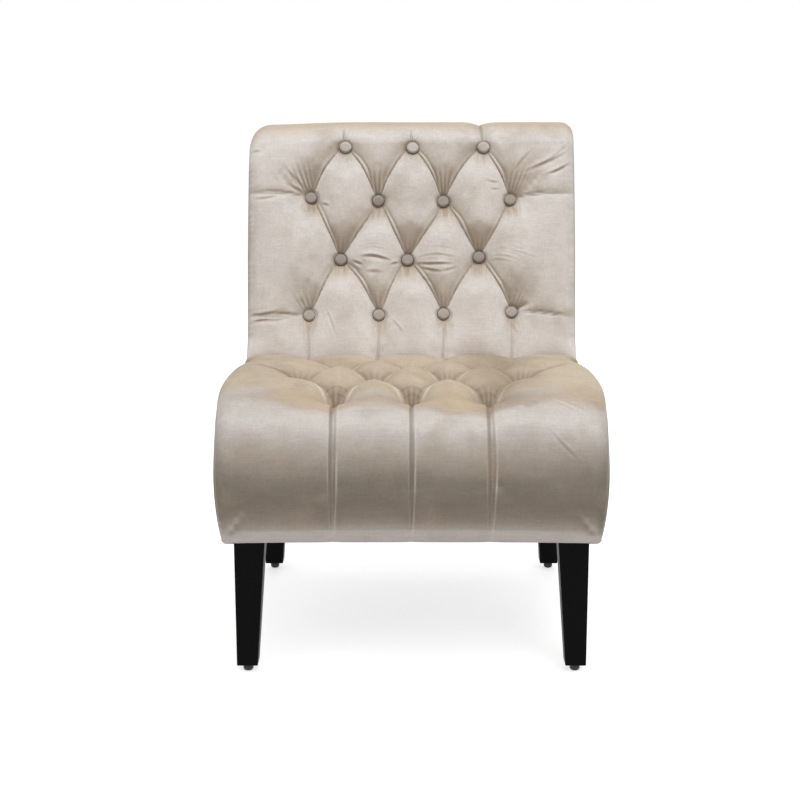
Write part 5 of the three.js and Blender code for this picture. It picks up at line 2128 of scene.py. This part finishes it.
@dataclass(frozen=True)
class Woven:
    """A woven or felted cloth: threads both ways, flecks, and stripes along its edges."""

    name: str
    light: Colour
    dark: Colour
    stripe: Colour
    threads: float = 900.0
    stripes: float = 0.0
    roughness: float = 0.9
    fuzz: float = 0.3

    def build(self) -> Material:
        """Makes the material."""
        nodes = Nodes(self.name)
        place = nodes.coordinates()
        across = nodes.add("ShaderNodeSeparateXYZ", {}, {"Vector": place}, "X")
        back = nodes.add("ShaderNodeSeparateXYZ", {}, {"Vector": place}, "Y")
        high = nodes.add("ShaderNodeSeparateXYZ", {}, {"Vector": place}, "Z")
        warp = (across * self.threads * FULL_TURN).maths("SINE", across * self.threads * FULL_TURN)
        rise = (back + high) * self.threads * FULL_TURN
        weft = rise.maths("SINE", rise)
        weave = warp * weft * 0.5 + 0.5
        fibres = nodes.noise(1400.0, 3.0)
        flecks = nodes.noise(240.0, 4.0)
        share = (weave * (1.0 - self.fuzz) + fibres * self.fuzz * 1.3 + (flecks - 0.5) * 0.8).clamped()
        colour = nodes.mix(share, self.dark, self.light)
        if self.stripes:
            lines = (across * self.stripes * FULL_TURN).maths("COSINE", across * self.stripes * FULL_TURN)
            colour = nodes.mix(((lines - 0.86) * 9.0).clamped() * 0.8, colour, self.stripe)
        return nodes.surface({
            "Base Color": colour,
            "Roughness": (self.roughness + (flecks - 0.5) * 0.1).clamped(),
            "Specular IOR Level": 0.2,
            "Normal": nodes.bump(weave + fibres * self.fuzz, 0.3, 0.0003),
        })


@dataclass(frozen=True)
class Foam:
    """Cut polyurethane foam: fine open cells and a slightly yellowed face."""

    fresh: Colour = tint(238, 229, 196)
    aged: Colour = tint(216, 198, 148)
    pore: Colour = tint(170, 150, 104)
    cells: float = 620.0

    def build(self) -> Material:
        """Makes the material."""
        nodes = Nodes("cut_foam")
        cloud = nodes.noise(14.0, 4.0)
        inputs = {"Vector": nodes.coordinates(), "Scale": self.cells}
        cells = nodes.add("ShaderNodeTexVoronoi", {}, inputs, "Distance")
        colour = nodes.mix((cloud * 1.6 - 0.4).clamped(), self.fresh, self.aged)
        # Painted shade in the open cells.
        colour = nodes.mix((1.0 - cells * 2.2).clamped() * 0.45, colour, self.pore)
        return nodes.surface({
            "Base Color": colour,
            "Roughness": (0.92 + (cloud - 0.5) * 0.1).clamped(),
            "Specular IOR Level": 0.15,
            "Normal": nodes.bump(cells, 0.4, 0.0005),
        })


@dataclass
class InnerParts:
    """The frame's own hard nodes, kept as they are and given their finishes."""

    timber: Material
    steel: Material

    def dress(self, nodes: dict[str, Piece]) -> None:
        """Gives every inner CAD node its finish.

        Args:
            nodes: The CAD nodes by name.
        """
        finishes = {
            "rail": self.timber,
            "post": self.timber,
            "block": self.timber,
            "spring": self.steel,
        }
        for name, node in nodes.items():
            for word, finish in finishes.items():
                if word in name:
                    node.data.materials.clear()
                    node.data.materials.append(finish)
                    log.info("%s: %s", name, finish.name)


@dataclass
class Studio:
    """A white floor, soft lamps and the camera at the photograph's viewing angle."""

    camera_from_nose: float = 2.247
    camera_height: float = 0.970
    camera_pitch: float = math.radians(12.8)
    lens: float = 70.6
    sensor: float = 36.0
    shift: float = -0.0144
    floor_size: float = 30.0
    world_strength: float = 0.5
    floor_glow: float = 0.6

    def build(self) -> None:
        """Sets the whole studio up."""
        self.camera()
        self.floor()
        self.world()
        self.lamp("key", (0.7, -2.6, 2.9), 2.4, 52.0)
        self.lamp("fill", (-1.8, -2.8, 1.4), 2.2, 13.0)
        self.lamp("top", (0.0, 0.3, 3.4), 2.6, 16.0)
        self.lamp("rear", (0.4, 3.4, 2.2), 2.4, 26.0)
        scene = bpy.context.scene
        scene.view_settings.view_transform = "Standard"

    def camera(self) -> None:
        """Places the camera."""
        data = bpy.data.cameras.new("camera")
        data.lens = self.lens
        data.sensor_width = self.sensor
        data.shift_x = self.shift
        camera = bpy.data.objects.new("camera", data)
        camera.location = (0.0, CHAIR.front - self.camera_from_nose, self.camera_height)
        camera.rotation_euler = (QUARTER_TURN - self.camera_pitch, 0.0, 0.0)
        bpy.context.scene.collection.objects.link(camera)
        bpy.context.scene.camera = camera

    def floor(self) -> None:
        """Lays the floor, which looks white and keeps the chair's shadow."""
        nodes = Nodes("studio_floor")
        path = "ShaderNodeLightPath"
        seen = (
            nodes.add(path, output="Is Camera Ray")
            + nodes.add(path, output="Is Glossy Ray")
            + nodes.add(path, output="Is Transmission Ray")
        ).clamped()
        paper = nodes.add("ShaderNodeBsdfDiffuse", {}, {"Color": tint(238, 238, 238)})
        light = {"Color": (1.0, 1.0, 1.0, 1.0), "Strength": seen * self.floor_glow}
        glow = nodes.add("ShaderNodeEmission", {}, light)
        both = nodes.add("ShaderNodeAddShader", {}, {0: paper, 1: glow})
        nodes.add("ShaderNodeOutputMaterial", {}, {"Surface": both})
        shape = bmesh.new()
        bmesh.ops.create_grid(shape, x_segments=1, y_segments=1, size=self.floor_size)
        mesh_piece("studio_floor", shape, nodes.material)

    def world(self) -> None:
        """Lights the scene softly from all round, and shows white where nothing else is."""
        world = bpy.data.worlds.new("studio_world")
        world.use_nodes = True
        tree = world.node_tree
        tree.nodes.clear()
        path = tree.nodes.new("ShaderNodeLightPath")
        background = tree.nodes.new("ShaderNodeBackground")
        background.inputs["Color"].default_value = (1.0, 1.0, 1.0, 1.0)
        output = tree.nodes.new("ShaderNodeOutputWorld")
        seen = tree.nodes.new("ShaderNodeMath")
        seen.operation = "MAXIMUM"
        tree.links.new(path.outputs["Is Camera Ray"], seen.inputs[0])
        tree.links.new(path.outputs["Is Transmission Ray"], seen.inputs[1])
        strength = tree.nodes.new("ShaderNodeMapRange")
        strength.inputs["To Min"].default_value = self.world_strength
        strength.inputs["To Max"].default_value = 1.0
        tree.links.new(seen.outputs[0], strength.inputs["Value"])
        tree.links.new(strength.outputs[0], background.inputs["Strength"])
        tree.links.new(background.outputs[0], output.inputs["Surface"])
        bpy.context.scene.world = world

    def lamp(self, name: str, place: Triple, size: float, power: float) -> None:
        """Hangs a square soft lamp that faces the chair."""
        data = bpy.data.lights.new(name, "AREA")
        data.shape = "SQUARE"
        data.size = size
        data.energy = power
        lamp = bpy.data.objects.new(name, data)
        lamp.location = place
        aim = Vector((0.0, 0.0, CHAIR.seat_height)) - Vector(place)
        lamp.rotation_euler = aim.to_track_quat("-Z", "Y").to_euler()
        bpy.context.scene.collection.objects.link(lamp)


def main() -> None:
    """Builds the chair round its frame."""
    logging.basicConfig(level=logging.INFO, format="%(message)s")
    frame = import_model()
    velvet = Velvet().build()
    steel = Plain(
        "spring_steel", tint(150, 152, 156), tint(96, 98, 102), 60.0, (1.0, 1.0, 1.0), 0.35, 1.0
    ).build()
    timber = Plain(
        "frame_timber", tint(214, 184, 140), tint(176, 140, 96), 1.0, (14.0, 160.0, 160.0), 0.7
    ).build()
    foam = Foam().build()
    felt = Woven(
        "grey_felt", tint(150, 148, 142), tint(104, 102, 98), tint(90, 60, 50), 300.0, fuzz=0.9
    ).build()
    webbing = Woven(
        "elastic_webbing", tint(214, 205, 186), tint(150, 138, 116), tint(60, 58, 56), 700.0, stripes=50.0
    ).build()
    lining = Woven(
        "black_lining", tint(44, 44, 46), tint(20, 20, 22), tint(30, 30, 30), 500.0, fuzz=0.6
    ).build()
    nylon = Plain("black_nylon", tint(46, 46, 47), tint(30, 30, 31), 300.0, (1.0, 1.0, 1.0), 0.5).build()
    InnerParts(timber, steel).dress(frame["nodes"])
    seat, back = SeatCover(), BackCover()
    for node, cover in (("seat_foam", seat), ("back_foam", back)):
        FoamPad(node).build(frame["nodes"][node], [matrix for _, matrix in cover.button_frames()], foam)
    SpringDeck(
        "deck_felt",
        "seat_deck",
        Slot.WEBBING,
        0.0015,
        ("front_rail", "rear_rail", "seat_spring_2"),
        staple_side=1,
    ).build(felt, steel)
    StretchedSheet(
        "dust_cover_cloth", "dust_cover", Slot.LINING, 0.0006,
        ("front_rail", "rear_rail", "left_side_rail", "right_side_rail"), ripple=0.0001, hem_rise=0.0001,
    ).build(lining, steel, Legs().bolt_places())
    BackStraps().build(webbing)
    seat.build(velvet)
    back.build(velvet)
    CoveredButtons(back.button_frames(), seed=7).build(velvet)
    CoveredButtons(seat.button_frames(), seed=11).build(velvet)
    OutsideBack().build(velvet)
    Legs().build(Lacquer().build(), steel)
    Glides().build(nylon)
    Studio().build()


if __name__ == "__main__":
    main()
